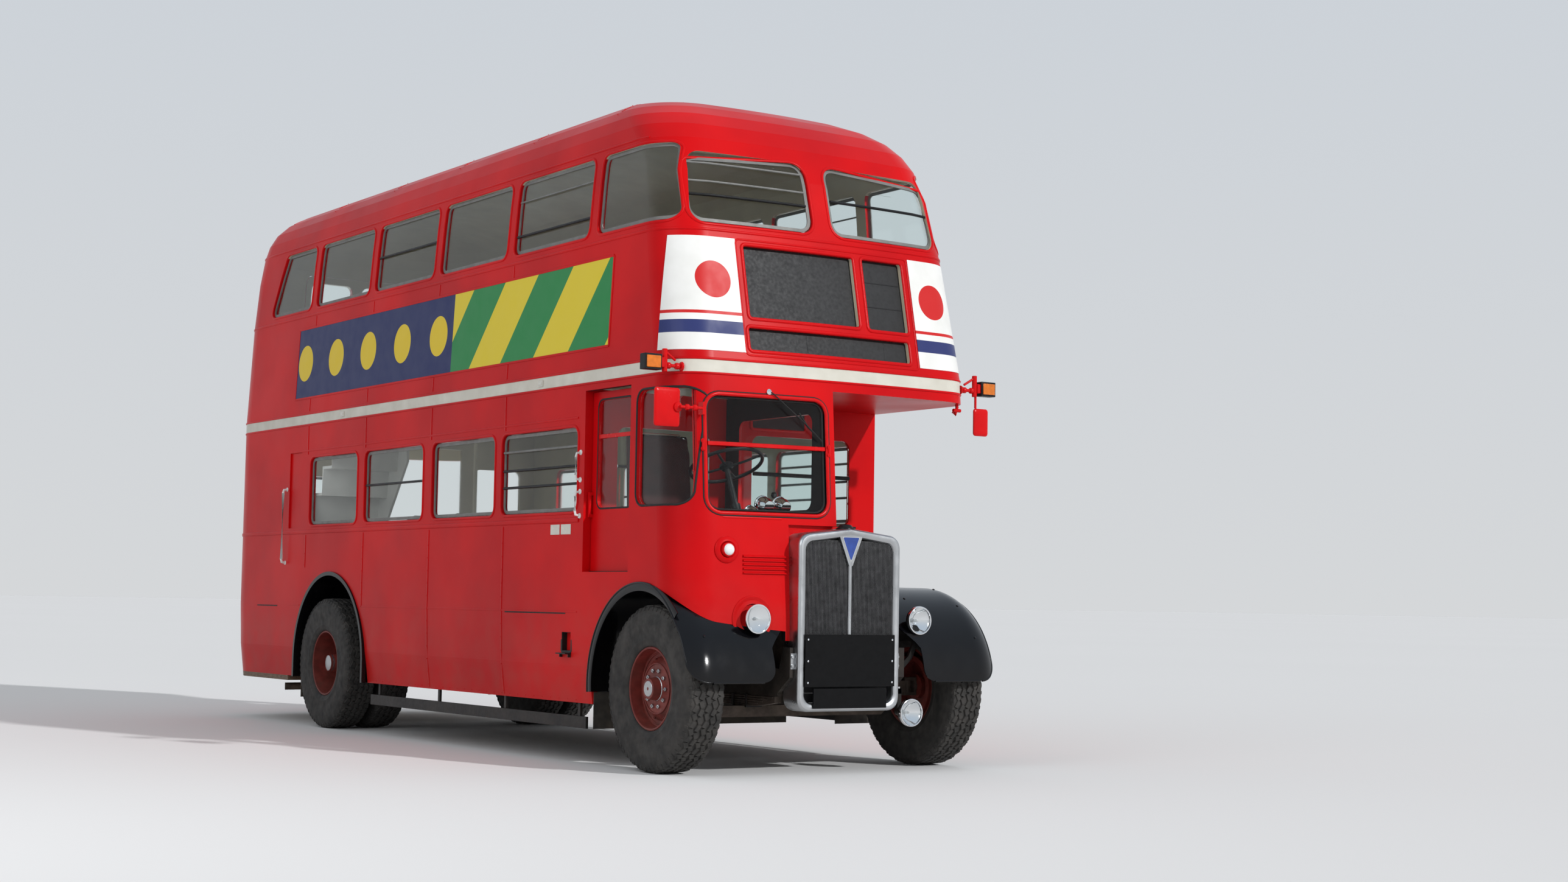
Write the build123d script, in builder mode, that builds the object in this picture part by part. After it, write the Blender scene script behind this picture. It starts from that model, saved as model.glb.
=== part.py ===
"""Half-cab double deck bus with an open rear platform.

Millimetres. Front is -Y, the kerb side (nearside) is +X, up is +Z.
The origin is on the ground under the middle of the outline.
"""
import os
from math import cos, radians, sin, sqrt

from build123d import *

os.makedirs("parts", exist_ok=True)

# Clearances
FIT = 0.4            # between pieces that seat on each other
BEARING = 0.1        # radial, between a shaft and its bore
RUNNING = 6.0        # between moving pieces
BEAD_GAP = 0.9       # between a rim and the beads of its tyre
TYRE_FLATS = 72      # flat faces round each tyre, which keep all six light

# Body outline
HALF_WIDTH = 1143.0
WALL = 50.0
CAB_WALL = 42.0
FRONT_Y = -3840.0    # lower front panel, on the centre line
REAR_Y = 3930.0
ROOF_TOP = 4356.0
CROWN_R = 3500.0
FRONT_BOW = 6.0      # half angle of the bowed front, degrees
REAR_BOW = 14.0
FRONT_R = 280.0
REAR_R = 500.0
SKIRT_Z = 385.0
PLATFORM_BOTTOM = 345.0

# Heights
DECK_SPLIT = 2380.0  # lower and upper body panels meet here
CANTRAIL = 3925.0
LOWER_FLOOR = 700.0
UPPER_FLOOR = 2490.0
FLOOR_T = 40.0

# Bays
BAY = 1162.0
PILLAR_0 = -2530.0   # front bulkhead pillar
PILLAR_W = 110.0
BAYS = 4
REAR_PILLAR = PILLAR_0 + BAYS * BAY
SALOON_END = REAR_PILLAR + 310.0
REAR_SEAM = 3240.0

# Windows
LOW_WIN = (1600.0, 2140.0)
UP_WIN = (3372.0, 3885.0)
WIN_R = 60.0
GLASS_IN = 22.0      # glass sits this far inside the outer face
GLASS_T = 6.0

# Wheels
FRONT_AXLE_Y = -3330.0
WHEELBASE = 4978.0
REAR_AXLE_Y = FRONT_AXLE_Y + WHEELBASE
TYRE_R = 508.0
TYRE_W = 255.0
RIM_R = 254.0
FRONT_TRACK = 1955.0
TWIN_OUTER_X = 1002.0
TWIN_PITCH = 290.0
KINGPIN_X = 850.0
KINGPIN_R = 20.0
SPINDLE_R = 34.0

# Arches
WING_Y = -3290.0
WING_Z = 520.0
WING_R = 630.0
WING_T = 12.0
WING_IN_X = 431.0    # inner sheet of each wing lies against the chassis rail
REAR_ARCH_Y = 1518.0
REAR_ARCH_Z = 527.0
REAR_ARCH_R = 699.0
LINER_T = 12.0
TRIM_W = 30.0

# Cab
CAB_X = -50.0        # inner (kerb side) face of the half cab
CAB_BACK = -2560.0
CAB_FLOOR = 1180.0
COWL_Z = 1480.0
COWL_X = -345.0
DOOR_Y = (-3135.0, -2566.0)
DOOR_Z = (1220.0, 2355.0)
DOOR_X = -1087.0     # outer face of the recessed sliding door
DOOR_T = 28.0
DOOR_TRAVEL = 350.0

# Radiator and bonnet
RAD_X = -20.0
RAD_W = 760.0
RAD_FRONT = -3918.0
RAD_DEPTH = 160.0
RAD_Z = (385.0, 1500.0)
BONNET_X = 350.0
BONNET_T = 12.0
BONNET_TOP = 1470.0
BONNET_LOW = 1165.0
BONNET_BEND = 35.0   # fall of the bonnet top towards the kerb side
HINGE_PIN_R = 6.0
HINGE_HALF = 20.0    # half the length of a hinge knuckle
BONNET_HINGE = (CAB_X + 16.0, BONNET_TOP + 14.0)
BONNET_Y = (RAD_FRONT + RAD_DEPTH + RUNNING, CAB_BACK - RUNNING)
BONNET_HINGE_ROWS = (BONNET_Y[0] + 120, BONNET_Y[1] - 120)

# Chassis
RAIL_X = (380.0, 430.0)
RAIL_Z = (470.0, 640.0)
RAIL_Y = (-3740.0, SALOON_END - 20)
KICK_Z = (585.0, 655.0)
BEAM_Z = (330.0, 400.0)

# Emergency door in the upper rear
EXIT_HALF = 500.0
EXIT_Z = (3290.0, 3880.0)
EXIT_HINGE = (-504.0, 3884.0)
EXIT_HINGE_ROWS = (3400.0, 3730.0)

# Outline of the body at each height.
# Columns: height, half width, front y, rear y, front corner radius, rear corner radius,
# lean of the surface there (degrees from upright)
SECTIONS = (
    (300.0, 1096.0, FRONT_Y, REAR_Y - 25, FRONT_R - 30, REAR_R - 20, 0),
    (385.0, 1103.0, FRONT_Y, REAR_Y - 20, FRONT_R - 30, REAR_R - 20, 0),
    (620.0, 1132.0, FRONT_Y + 5, REAR_Y - 6, FRONT_R, REAR_R, 0),
    (960.0, HALF_WIDTH, FRONT_Y + 15, REAR_Y, FRONT_R, REAR_R, 0),
    (1555.0, HALF_WIDTH, FRONT_Y + 45, REAR_Y, FRONT_R, REAR_R, 0),
    (2505.0, HALF_WIDTH, FRONT_Y + 112, REAR_Y - 4, FRONT_R, REAR_R, 0),
    (3330.0, 1103.0, FRONT_Y + 290, REAR_Y - 22, FRONT_R + 15, REAR_R, 3),
    (3700.0, 1074.0, FRONT_Y + 392, REAR_Y - 45, FRONT_R + 25, REAR_R, 6),
    (3925.0, 1050.0, FRONT_Y + 490, REAR_Y - 90, FRONT_R + 45, REAR_R, 10),
    (4030.0, 1028.0, FRONT_Y + 570, REAR_Y - 130, FRONT_R + 70, REAR_R, 20),
    (4120.0, 990.0, FRONT_Y + 670, REAR_Y - 195, FRONT_R + 95, REAR_R, 33),
    (4195.0, 925.0, FRONT_Y + 800, REAR_Y - 285, FRONT_R + 105, REAR_R, 47),
    (4260.0, 820.0, FRONT_Y + 970, REAR_Y - 410, FRONT_R + 100, REAR_R, 58),
    (4315.0, 670.0, FRONT_Y + 1190, REAR_Y - 590, FRONT_R + 60, REAR_R - 60, 66),
    (4375.0, 440.0, FRONT_Y + 1530, REAR_Y - 880, FRONT_R - 60, REAR_R - 180, 72),
)


def corner_outline(half, front, rear, front_r, rear_r):
    """Points of a plan outline with bowed ends and rounded corners, offside first."""
    points = []
    for end, y, radius, bow in ((-1, front, front_r, FRONT_BOW), (1, rear, rear_r, REAR_BOW)):
        bow_r = radius + (half - radius) / sin(radians(bow))
        bow_centre = y - end * bow_r
        corner_x = half - radius
        corner_y = bow_centre + end * (bow_r - radius) * cos(radians(bow))
        bow_end = (bow_r * sin(radians(bow)), bow_centre + end * bow_r * cos(radians(bow)))
        middle = radians(45 + bow / 2)
        corner_mid = (corner_x + radius * cos(middle), corner_y + end * radius * sin(middle))
        points.append((y, bow_end, corner_mid, (half, corner_y)))
    return points


def body_form(inset):
    """The whole outer form of the body, moved inwards by inset."""
    with BuildPart() as form:
        for height, half, front, rear, front_r, rear_r, lean in SECTIONS:
            side = inset * cos(radians(lean))
            ends = corner_outline(
                half - side, front + side, rear - side, front_r - side, rear_r - side
            )
            (fy, f_end, f_mid, f_side), (ry, r_end, r_mid, r_side) = ends
            with BuildSketch(Plane.XY.offset(height - inset * sin(radians(lean)))):
                with BuildLine():
                    ThreePointArc((-f_end[0], f_end[1]), (0, fy), f_end)
                    ThreePointArc(f_end, f_mid, f_side)
                    Line(f_side, r_side)
                    ThreePointArc(r_side, r_mid, r_end)
                    ThreePointArc(r_end, (0, ry), (-r_end[0], r_end[1]))
                    ThreePointArc(
                        (-r_end[0], r_end[1]), (-r_mid[0], r_mid[1]), (-r_side[0], r_side[1])
                    )
                    Line((-r_side[0], r_side[1]), (-f_side[0], f_side[1]))
                    ThreePointArc(
                        (-f_side[0], f_side[1]), (-f_mid[0], f_mid[1]), (-f_end[0], f_end[1])
                    )
                make_face()
        loft(ruled=True)
        crown = ROOF_TOP - inset
        reach = HALF_WIDTH + 100
        drop = CROWN_R - sqrt(CROWN_R**2 - reach**2)
        with BuildSketch(Plane.XZ.offset(-REAR_Y - 100)):
            with BuildLine():
                ThreePointArc((-reach, crown - drop), (0, crown), (reach, crown - drop))
                Line((reach, crown - drop), (reach, 0))
                Line((reach, 0), (-reach, 0))
                Line((-reach, 0), (-reach, crown - drop))
            make_face()
        extrude(amount=2 * REAR_Y + 200, mode=Mode.INTERSECT)
    return form.part


def block(x, y, z):
    """A box between three pairs of limits."""
    low = [min(pair) for pair in (x, y, z)]
    size = [abs(pair[1] - pair[0]) for pair in (x, y, z)]
    centre = [low[i] + size[i] / 2 for i in range(3)]
    with BuildPart() as box:
        with Locations(Location(tuple(centre))):
            Box(*size)
    return box.part


def save(part, name):
    """Label one piece and write it."""
    part.label = name
    export_step(part, f"parts/{name}.step")


OUTER = body_form(0)
INNER = body_form(WALL)
LINING = body_form(WALL + FIT)
CAB_INNER = body_form(CAB_WALL)
GLASS_FORM = body_form(GLASS_IN)
GLASS_BACK = body_form(GLASS_IN + GLASS_T)

BIG = 5000.0


def cut(part, tools, mode=Mode.SUBTRACT):
    """Take each tool away from a part, or keep what is common."""
    with BuildPart() as made:
        add(part)
        for tool in tools:
            add(tool, mode=mode)
    return made.part


SHELL = cut(OUTER, [INNER])
CAB_SKIN = cut(OUTER, [CAB_INNER])
GLASS_SKIN = cut(GLASS_FORM, [GLASS_BACK])


def panel(x, y, z, shell=SHELL):
    """The stretch of body wall inside a block of space."""
    return cut(shell, [block(x, y, z)], Mode.INTERSECT)


def side_opening(y, z, x, radius=WIN_R, shift=0.0, grow=0.0):
    """A window-shaped prism across one side wall; shift slants its first edge."""
    with BuildPart() as prism:
        with BuildSketch(Plane.YZ.offset(min(x))) as shape:
            with BuildLine():
                Polyline(
                    (y[0] - grow, z[0] - grow),
                    (y[1] + grow, z[0] - grow),
                    (y[1] + grow, z[1] + grow),
                    (y[0] - grow + shift, z[1] + grow),
                    close=True,
                )
            make_face()
            fillet(shape.vertices(), radius)
        extrude(amount=abs(x[1] - x[0]))
    return prism.part


def end_opening(x, z, y, radius=WIN_R, slant=0.0, grow=0.0):
    """A window-shaped prism across the front or rear; slant moves its outer top corner in."""
    with BuildPart() as prism:
        with BuildSketch(Plane.XZ.offset(-max(y))) as shape:
            with BuildLine():
                Polyline(
                    (x[0] - grow, z[0] - grow),
                    (x[1] + grow, z[0] - grow),
                    (x[1] + grow + slant, z[1] + grow),
                    (x[0] - grow, z[1] + grow),
                    close=True,
                )
            make_face()
            fillet(shape.vertices(), radius)
        extrude(amount=abs(y[1] - y[0]))
    return prism.part


def arch_prism(y, z, radius, x, bottom):
    """A wheel arch: half round above, straight legs down to bottom."""
    with BuildPart() as prism:
        with BuildSketch(Plane.YZ.offset(min(x))):
            with BuildLine():
                ThreePointArc((y - radius, z), (y, z + radius), (y + radius, z))
                Line((y + radius, z), (y + radius, bottom))
                Line((y + radius, bottom), (y - radius, bottom))
                Line((y - radius, bottom), (y - radius, z))
            make_face()
        extrude(amount=abs(x[1] - x[0]))
    return prism.part


def cylinder_x(y, z, radius, x):
    """A round bar along X."""
    with BuildPart() as bar:
        with BuildSketch(Plane.YZ.offset(min(x))):
            with Locations((y, z)):
                Circle(radius)
        extrude(amount=abs(x[1] - x[0]))
    return bar.part


def cylinder_y(x, z, radius, y):
    """A round bar along Y."""
    with BuildPart() as bar:
        with BuildSketch(Plane.XZ.offset(-max(y))):
            with Locations((x, z)):
                Circle(radius)
        extrude(amount=abs(y[1] - y[0]))
    return bar.part


def cylinder_z(x, y, radius, z):
    """An upright round bar."""
    with BuildPart() as bar:
        with BuildSketch(Plane.XY.offset(min(z))):
            with Locations((x, y)):
                Circle(radius)
        extrude(amount=abs(z[1] - z[0]))
    return bar.part


# Window lists. Each row is one opening: y limits, then the slant of its front edge.
LOW_SIDE = tuple(
    (PILLAR_0 + i * BAY + a, PILLAR_0 + i * BAY + b)
    for i, (a, b) in enumerate(((60, 1120), (68, 1058), (56, 1096), (79, 1014)))
)
UP_SIDE = tuple(
    (PILLAR_0 + i * BAY + PILLAR_W / 2, PILLAR_0 + (i + 1) * BAY - PILLAR_W / 2)
    for i in range(BAYS)
)
UP_FIRST = (FRONT_Y + 402, PILLAR_0 - PILLAR_W / 2)
UP_FIRST_SLANT = 158.0
UP_LAST = (REAR_PILLAR + PILLAR_W / 2, REAR_PILLAR + 940.0)
UP_LAST_SLANT = -240.0
FRONT_WIN_X = (70.0, 945.0)
FRONT_WIN_Z = (3360.0, 3830.0)
FRONT_WIN_SLANT = -45.0


def upper_side_openings(x, grow=0.0):
    """Every window prism of one upper side."""
    openings = [side_opening(row, UP_WIN, x, grow=grow) for row in UP_SIDE]
    openings.append(side_opening(UP_FIRST, UP_WIN, x, shift=UP_FIRST_SLANT, grow=grow))
    with BuildPart() as last:
        with BuildSketch(Plane.YZ.offset(min(x))) as shape:
            with BuildLine():
                Polyline(
                    (UP_LAST[0] - grow, UP_WIN[0] - grow),
                    (UP_LAST[1] + grow, UP_WIN[0] - grow),
                    (UP_LAST[1] + grow + UP_LAST_SLANT, UP_WIN[1] + grow),
                    (UP_LAST[0] - grow, UP_WIN[1] + grow),
                    close=True,
                )
            make_face()
            fillet(shape.vertices(), WIN_R)
        extrude(amount=abs(x[1] - x[0]))
    openings.append(last.part)
    return openings


def lower_side_openings(x, grow=0.0):
    """Every window prism of one lower side."""
    return [side_opening(row, LOW_WIN, x, grow=grow) for row in LOW_SIDE]


def front_openings(grow=0.0):
    """Both upper front window prisms."""
    y = (FRONT_Y - 100, FRONT_Y + 700)
    right = end_opening(FRONT_WIN_X, FRONT_WIN_Z, y, 90, FRONT_WIN_SLANT, grow)
    return [right, mirror(right, about=Plane.YZ)]


def glaze(openings):
    """Panes that follow the body form inside each opening."""
    with BuildPart() as panes:
        for opening in openings:
            add(opening)
        add(GLASS_SKIN, mode=Mode.INTERSECT)
    return panes.part


OFF_X = (-BIG / 4, -HALF_WIDTH / 2)
NEAR_X = (HALF_WIDTH / 2, BIG / 4)


def rear_arch_cut(side, grow=0.0):
    """The rear arch through one side wall."""
    x = (side * HALF_WIDTH / 2, side * BIG / 4)
    return arch_prism(REAR_ARCH_Y, REAR_ARCH_Z, REAR_ARCH_R + grow, x, PLATFORM_BOTTOM - 50)


# Lower side walls
lower_y = (PILLAR_0, REAR_SEAM)
lower_z = (SKIRT_Z, DECK_SPLIT)
blank_panel = block((-HALF_WIDTH - 10, -HALF_WIDTH + 12), (2160, 2410), (1580, 2200))
step_hole = block((-BIG, -HALF_WIDTH + 44), (-2420, -2300), (710, 830))
lower_wall_offside = cut(
    panel((-BIG, 0), lower_y, lower_z),
    lower_side_openings(OFF_X) + [rear_arch_cut(-1), blank_panel, step_hole],
)
save(lower_wall_offside, "lower_wall_offside")
lower_wall_nearside = cut(
    panel((0, BIG), (PILLAR_0, SALOON_END), lower_z),
    lower_side_openings(NEAR_X) + [rear_arch_cut(1)],
)
save(lower_wall_nearside, "lower_wall_nearside")

# Rear lower panel closes the offside corner and half of the rear; the rest is the open platform
PLATFORM_EDGE_X = 250.0
HEADER_Z = 2290.0
REAR_WINDOW = ((-620.0, -120.0), (1620.0, 2100.0))
rear_window = end_opening(*REAR_WINDOW, (REAR_SEAM, BIG))
rear_lower_panel = cut(
    panel((-BIG, PLATFORM_EDGE_X), (REAR_SEAM, BIG), lower_z),
    [rear_window],
)
save(rear_lower_panel, "rear_lower_panel")

# Platform floor, flush with the outside
platform = cut(
    OUTER, [block((-BIG, BIG), (SALOON_END, BIG), (PLATFORM_BOTTOM, SKIRT_Z))], Mode.INTERSECT
)
save(platform, "platform_floor")

# Upper side walls, front and rear
upper_z = (DECK_SPLIT, CANTRAIL)
UP_FRONT_SEAM = PILLAR_0
UP_REAR_SEAM = REAR_PILLAR
upper_wall_offside = cut(
    panel((-BIG, 0), (UP_FRONT_SEAM, UP_REAR_SEAM), upper_z), upper_side_openings(OFF_X)
)
save(upper_wall_offside, "upper_wall_offside")
save(mirror(upper_wall_offside, about=Plane.YZ), "upper_wall_nearside")

# Recesses for the blinds in the upper front: x limits, z limits
BLIND_BOXES = (
    ((-610.0, 200.0), (2780.0, 3230.0)),
    ((280.0, 600.0), (2775.0, 3230.0)),
    ((-630.0, 585.0), (2575.0, 2710.0)),
)
blind_y = (FRONT_Y - 100, FRONT_Y + 450)
blinds = [end_opening(x, z, blind_y, 15) for x, z in BLIND_BOXES]
upper_front = cut(
    panel((-BIG, BIG), (-BIG, UP_FRONT_SEAM), upper_z),
    upper_side_openings(OFF_X) + upper_side_openings(NEAR_X) + front_openings() + blinds,
)
CANOPY_T = 30.0
canopy = cut(
    OUTER,
    [block((CAB_X, BIG), (-BIG, CAB_BACK), (DECK_SPLIT - CANOPY_T, DECK_SPLIT))],
    Mode.INTERSECT,
)
with BuildPart() as upper_front_canopied:
    add(upper_front)
    add(canopy)
save(upper_front_canopied.part, "upper_front")

exit_opening = end_opening(
    (-EXIT_HALF - RUNNING, EXIT_HALF + RUNNING),
    (EXIT_Z[0] - RUNNING, EXIT_Z[1] + RUNNING),
    (REAR_SEAM, BIG),
    WIN_R + RUNNING,
)
upper_rear = cut(
    panel((-BIG, BIG), (UP_REAR_SEAM, BIG), upper_z),
    upper_side_openings(OFF_X) + upper_side_openings(NEAR_X) + [exit_opening],
)
header = cut(
    panel((0, BIG), (SALOON_END + FIT, BIG), (HEADER_Z, DECK_SPLIT)),
    [block((-BIG, PLATFORM_EDGE_X + FIT), (REAR_SEAM, BIG), (0, BIG))],
)
with BuildPart() as upper_rear_hinged:
    add(upper_rear)
    add(header)
    for z in EXIT_HINGE_ROWS:
        for ear in (z - HINGE_HALF - FIT - 10, z + HINGE_HALF + FIT):
            add(block((-EXIT_HALF - 40, -EXIT_HALF - RUNNING - 1),
                      (EXIT_HINGE[1] - 80, EXIT_HINGE[1] + 10), (ear, ear + 10)))
            add(cylinder_z(*EXIT_HINGE, 2 * HINGE_PIN_R, (ear, ear + 10)))
        add(cylinder_z(*EXIT_HINGE, HINGE_PIN_R, (z - HINGE_HALF - 5, z + HINGE_HALF + 5)))
upper_rear = upper_rear_hinged.part
save(upper_rear, "upper_rear")

exit_panel = end_opening((-EXIT_HALF, EXIT_HALF), EXIT_Z, (REAR_SEAM, BIG))
exit_panes = [
    end_opening((45, EXIT_HALF - 55), (EXIT_Z[0] + 55, EXIT_Z[1] - 55), (REAR_SEAM, BIG)),
    end_opening((-EXIT_HALF + 55, -45), (EXIT_Z[0] + 55, EXIT_Z[1] - 55), (REAR_SEAM, BIG)),
]
with BuildPart() as emergency_door:
    add(exit_panel)
    add(OUTER, mode=Mode.INTERSECT)
    add(INNER, mode=Mode.SUBTRACT)
    for pane in exit_panes:
        add(pane, mode=Mode.SUBTRACT)
    for z in EXIT_HINGE_ROWS:
        knuckle_z = (z - HINGE_HALF, z + HINGE_HALF)
        add(block((-EXIT_HALF + 1, -EXIT_HALF + 45), (EXIT_HINGE[1] - 70, EXIT_HINGE[1] + 6),
                  knuckle_z))
        add(cylinder_z(*EXIT_HINGE, 2 * HINGE_PIN_R, knuckle_z))
        add(cylinder_z(*EXIT_HINGE, HINGE_PIN_R + BEARING, knuckle_z), mode=Mode.SUBTRACT)
save(emergency_door.part, "emergency_door")

# Roof, above the cantrail
roof_z = (CANTRAIL, BIG)
save(panel((-BIG, BIG), (-BIG, UP_FRONT_SEAM), roof_z), "roof_front")
save(panel((-BIG, BIG), (UP_FRONT_SEAM, UP_REAR_SEAM), roof_z), "roof_centre")
save(panel((-BIG, BIG), (UP_REAR_SEAM, BIG), roof_z), "roof_rear")

# Front bulkhead between the saloon and the cab, with the tunnel left open below the floor
BULKHEAD = (CAB_BACK, PILLAR_0)
CAB_REAR_WIN = ((-900.0, -200.0), (1560.0, 2150.0))
NEAR_BULK_WIN = ((130.0, 930.0), (1560.0, 2150.0))
inner_half = HALF_WIDTH - WALL
bulkhead = cut(OUTER, [block((-BIG, BIG), BULKHEAD, (SKIRT_Z, DECK_SPLIT))], Mode.INTERSECT)
bulkhead = cut(
    bulkhead,
    [
        block((-inner_half, inner_half), BULKHEAD, (0, LOWER_FLOOR - FLOOR_T)),
        end_opening(*CAB_REAR_WIN, BULKHEAD),
        end_opening(*NEAR_BULK_WIN, BULKHEAD),
    ],
)
save(bulkhead, "front_bulkhead")

# Rear bulkhead of the lower saloon, with the doorway to the platform
DOORWAY_X = (-300.0, 400.0)
STAIR_X = (-1082.0, -520.0)
STRINGER_T = 20.0
rear_bulk_y = (SALOON_END - 30, SALOON_END - FIT)
rear_bulkhead = cut(
    LINING,
    [
        block(
            (STAIR_X[1] + STRINGER_T + FIT, BIG),
            rear_bulk_y,
            (LOWER_FLOOR, UPPER_FLOOR - FLOOR_T - FIT),
        )
    ],
    Mode.INTERSECT,
)
rear_bulkhead = cut(
    rear_bulkhead,
    [
        block(DOORWAY_X, rear_bulk_y, (0, 2300)),
        end_opening((520, 960), LOW_WIN, rear_bulk_y),
    ],
)
save(rear_bulkhead, "rear_bulkhead")

# Half cab: front, offside wall and kerb-side wall
WINDSCREEN = ((-945.0, -115.0), (1580.0, 2280.0))
CAB_SIDE_WIN = ((-3688.0, -3216.0), (1620.0, 2320.0))
CAB_PILLAR_X = -1000.0
CAB_NEAR_WIN = ((-3560.0, -2720.0), (1620.0, 2220.0))
cab_front_y = (FRONT_Y - 100, FRONT_Y + 400)
with BuildPart() as cab:
    add(panel((-BIG, CAB_X), (-BIG, CAB_BACK), (SKIRT_Z, DECK_SPLIT), CAB_SKIN))
    add(
        cut(
            OUTER,
            [block((CAB_X - 30, CAB_X), (-BIG, CAB_BACK), (COWL_Z, DECK_SPLIT))],
            Mode.INTERSECT,
        )
    )
    add(end_opening(*WINDSCREEN, cab_front_y, 70), mode=Mode.SUBTRACT)
    add(side_opening(*CAB_SIDE_WIN, (-BIG / 4, CAB_PILLAR_X), 70), mode=Mode.SUBTRACT)
    add(side_opening(*CAB_NEAR_WIN, (CAB_X - 60, CAB_X + 60)), mode=Mode.SUBTRACT)
    add(block((-BIG, -HALF_WIDTH + 100), (DOOR_Y[0], CAB_BACK), (DOOR_Z[0] - 6, DOOR_Z[1] + 10)),
        mode=Mode.SUBTRACT)
    add(arch_prism(WING_Y, WING_Z, WING_R + FIT, (-BIG, -RAIL_X[1]), 0),
        mode=Mode.SUBTRACT)
    add(block((-WING_IN_X, 0), (-BIG, RAIL_Y[0]), (0, 810)), mode=Mode.SUBTRACT)
    add(
        block(
            (RAD_X - RAD_W / 2 - FIT, BIG), (-BIG, RAD_FRONT + RAD_DEPTH), (0, RAD_Z[1] + 12)
        ),
        mode=Mode.SUBTRACT,
    )
    for y in BONNET_HINGE_ROWS:
        for ear in (y - HINGE_HALF - FIT - 10, y + HINGE_HALF + FIT):
            add(block((CAB_X - 10, BONNET_HINGE[0] + 6), (ear, ear + 10),
                      (BONNET_HINGE[1] - 9, BONNET_HINGE[1] + 9)))
        add(cylinder_y(*BONNET_HINGE, HINGE_PIN_R, (y - HINGE_HALF - 5, y + HINGE_HALF + 5)))
save(cab.part, "cab_shell")

# Cab floor over the wing, with the riser and cowl beside the engine and the door's rail
with BuildPart() as cab_floor:
    add(body_form(CAB_WALL + FIT))
    with BuildSketch(Plane.XZ.offset(-CAB_BACK + FIT)):
        with BuildLine():
            Polyline(
                (-BIG, CAB_FLOOR - 25),
                (COWL_X - 15, CAB_FLOOR - 25),
                (COWL_X, CAB_FLOOR - 25),
                (COWL_X, COWL_Z - 26),
                (CAB_X - 30, COWL_Z - 26),
                (CAB_X - 30, COWL_Z - FIT),
                (COWL_X - 15, COWL_Z - FIT),
                (COWL_X - 15, CAB_FLOOR),
                (-BIG, CAB_FLOOR),
                close=True,
            )
        make_face()
    extrude(amount=1230, mode=Mode.INTERSECT)
    add(
        block((-BIG, BIG), (-BIG, RAD_FRONT + RAD_DEPTH + 20), (0, BIG)),
        mode=Mode.SUBTRACT,
    )
    add(
        block(
            (DOOR_X - 4, DOOR_X + DOOR_T + 4),
            (DOOR_Y[0] - DOOR_TRAVEL + 10, CAB_BACK - FIT),
            (CAB_FLOOR - 5, DOOR_Z[0] - FIT),
        )
    )
save(cab_floor.part, "cab_floor")

# Sliding cab door
with BuildPart() as door:
    add(block((DOOR_X, DOOR_X + DOOR_T), DOOR_Y, DOOR_Z))
    add(side_opening((-3065, -2636), (1620, 2300), OFF_X, 45), mode=Mode.SUBTRACT)
    add(block((DOOR_X - 22, DOOR_X), (DOOR_Y[1] - 22, DOOR_Y[1] - 6), (1560, 1580)))
    add(block((DOOR_X - 22, DOOR_X), (DOOR_Y[1] - 22, DOOR_Y[1] - 6), (1700, 1720)))
    add(block((DOOR_X - 30, DOOR_X - 14), (DOOR_Y[1] - 22, DOOR_Y[1] - 6), (1560, 1720)))
save(door.part, "cab_door")

# Floors
lower_floor = cut(
    LINING,
    [block((-BIG, BIG), (PILLAR_0 + FIT, SALOON_END - FIT), (LOWER_FLOOR - FLOOR_T, LOWER_FLOOR))],
    Mode.INTERSECT,
)
WELL_IN_X = 560.0
wells = [
    arch_prism(
        REAR_ARCH_Y, REAR_ARCH_Z, REAR_ARCH_R - TRIM_W + LINER_T + FIT,
        (side * BIG, side * (WELL_IN_X - FIT)), 0,
    )
    for side in (-1, 1)
]
save(cut(lower_floor, wells), "lower_floor")

STAIR_TOP_Y = 1500.0
STAIR_FOOT_Y = 3150.0
STEPS = 10
upper_floor = cut(
    LINING,
    [block((-BIG, BIG), (-BIG, BIG), (UPPER_FLOOR - FLOOR_T, UPPER_FLOOR))],
    Mode.INTERSECT,
)
stairwell = block((-BIG, STAIR_X[1] + STRINGER_T + FIT), (STAIR_TOP_Y - FIT, 2800), (0, BIG))
save(cut(upper_floor, [stairwell]), "upper_floor")

# Staircase, straight up from the platform along the offside
rise = (UPPER_FLOOR - SKIRT_Z) / STEPS
going = (STAIR_FOOT_Y - STAIR_TOP_Y) / (STEPS - 1)
TREAD_T = 22.0
with BuildPart() as stairs:
    with BuildSketch(Plane.YZ.offset(STAIR_X[0])):
        with BuildLine():
            up = [(STAIR_FOOT_Y, SKIRT_Z + FIT)]
            for step in range(STEPS - 1):
                z = SKIRT_Z + (step + 1) * rise
                up.append((STAIR_FOOT_Y - step * going, z))
                up.append((STAIR_FOOT_Y - (step + 1) * going, z))
            down = []
            for step in range(STEPS - 2, -1, -1):
                z = SKIRT_Z + (step + 1) * rise - TREAD_T
                down.append((STAIR_FOOT_Y - (step + 1) * going, z))
                down.append((STAIR_FOOT_Y - step * going - TREAD_T, z))
            down.append((STAIR_FOOT_Y - TREAD_T, SKIRT_Z + FIT))
            Polyline(*up, *down, close=True)
        make_face()
    extrude(amount=STAIR_X[1] - STAIR_X[0])
    with BuildSketch(Plane.YZ.offset(STAIR_X[1])):
        with BuildLine():
            Polyline(
                (STAIR_FOOT_Y + 30, SKIRT_Z + FIT),
                (STAIR_FOOT_Y + 30, SKIRT_Z + rise + 60),
                (STAIR_TOP_Y, UPPER_FLOOR - FLOOR_T - FIT),
                (STAIR_TOP_Y, UPPER_FLOOR - FLOOR_T - 330),
                (STAIR_FOOT_Y - 300, SKIRT_Z + FIT),
                close=True,
            )
        make_face()
    extrude(amount=STRINGER_T)
    add(LINING, mode=Mode.INTERSECT)
save(stairs.part, "staircase")

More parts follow.
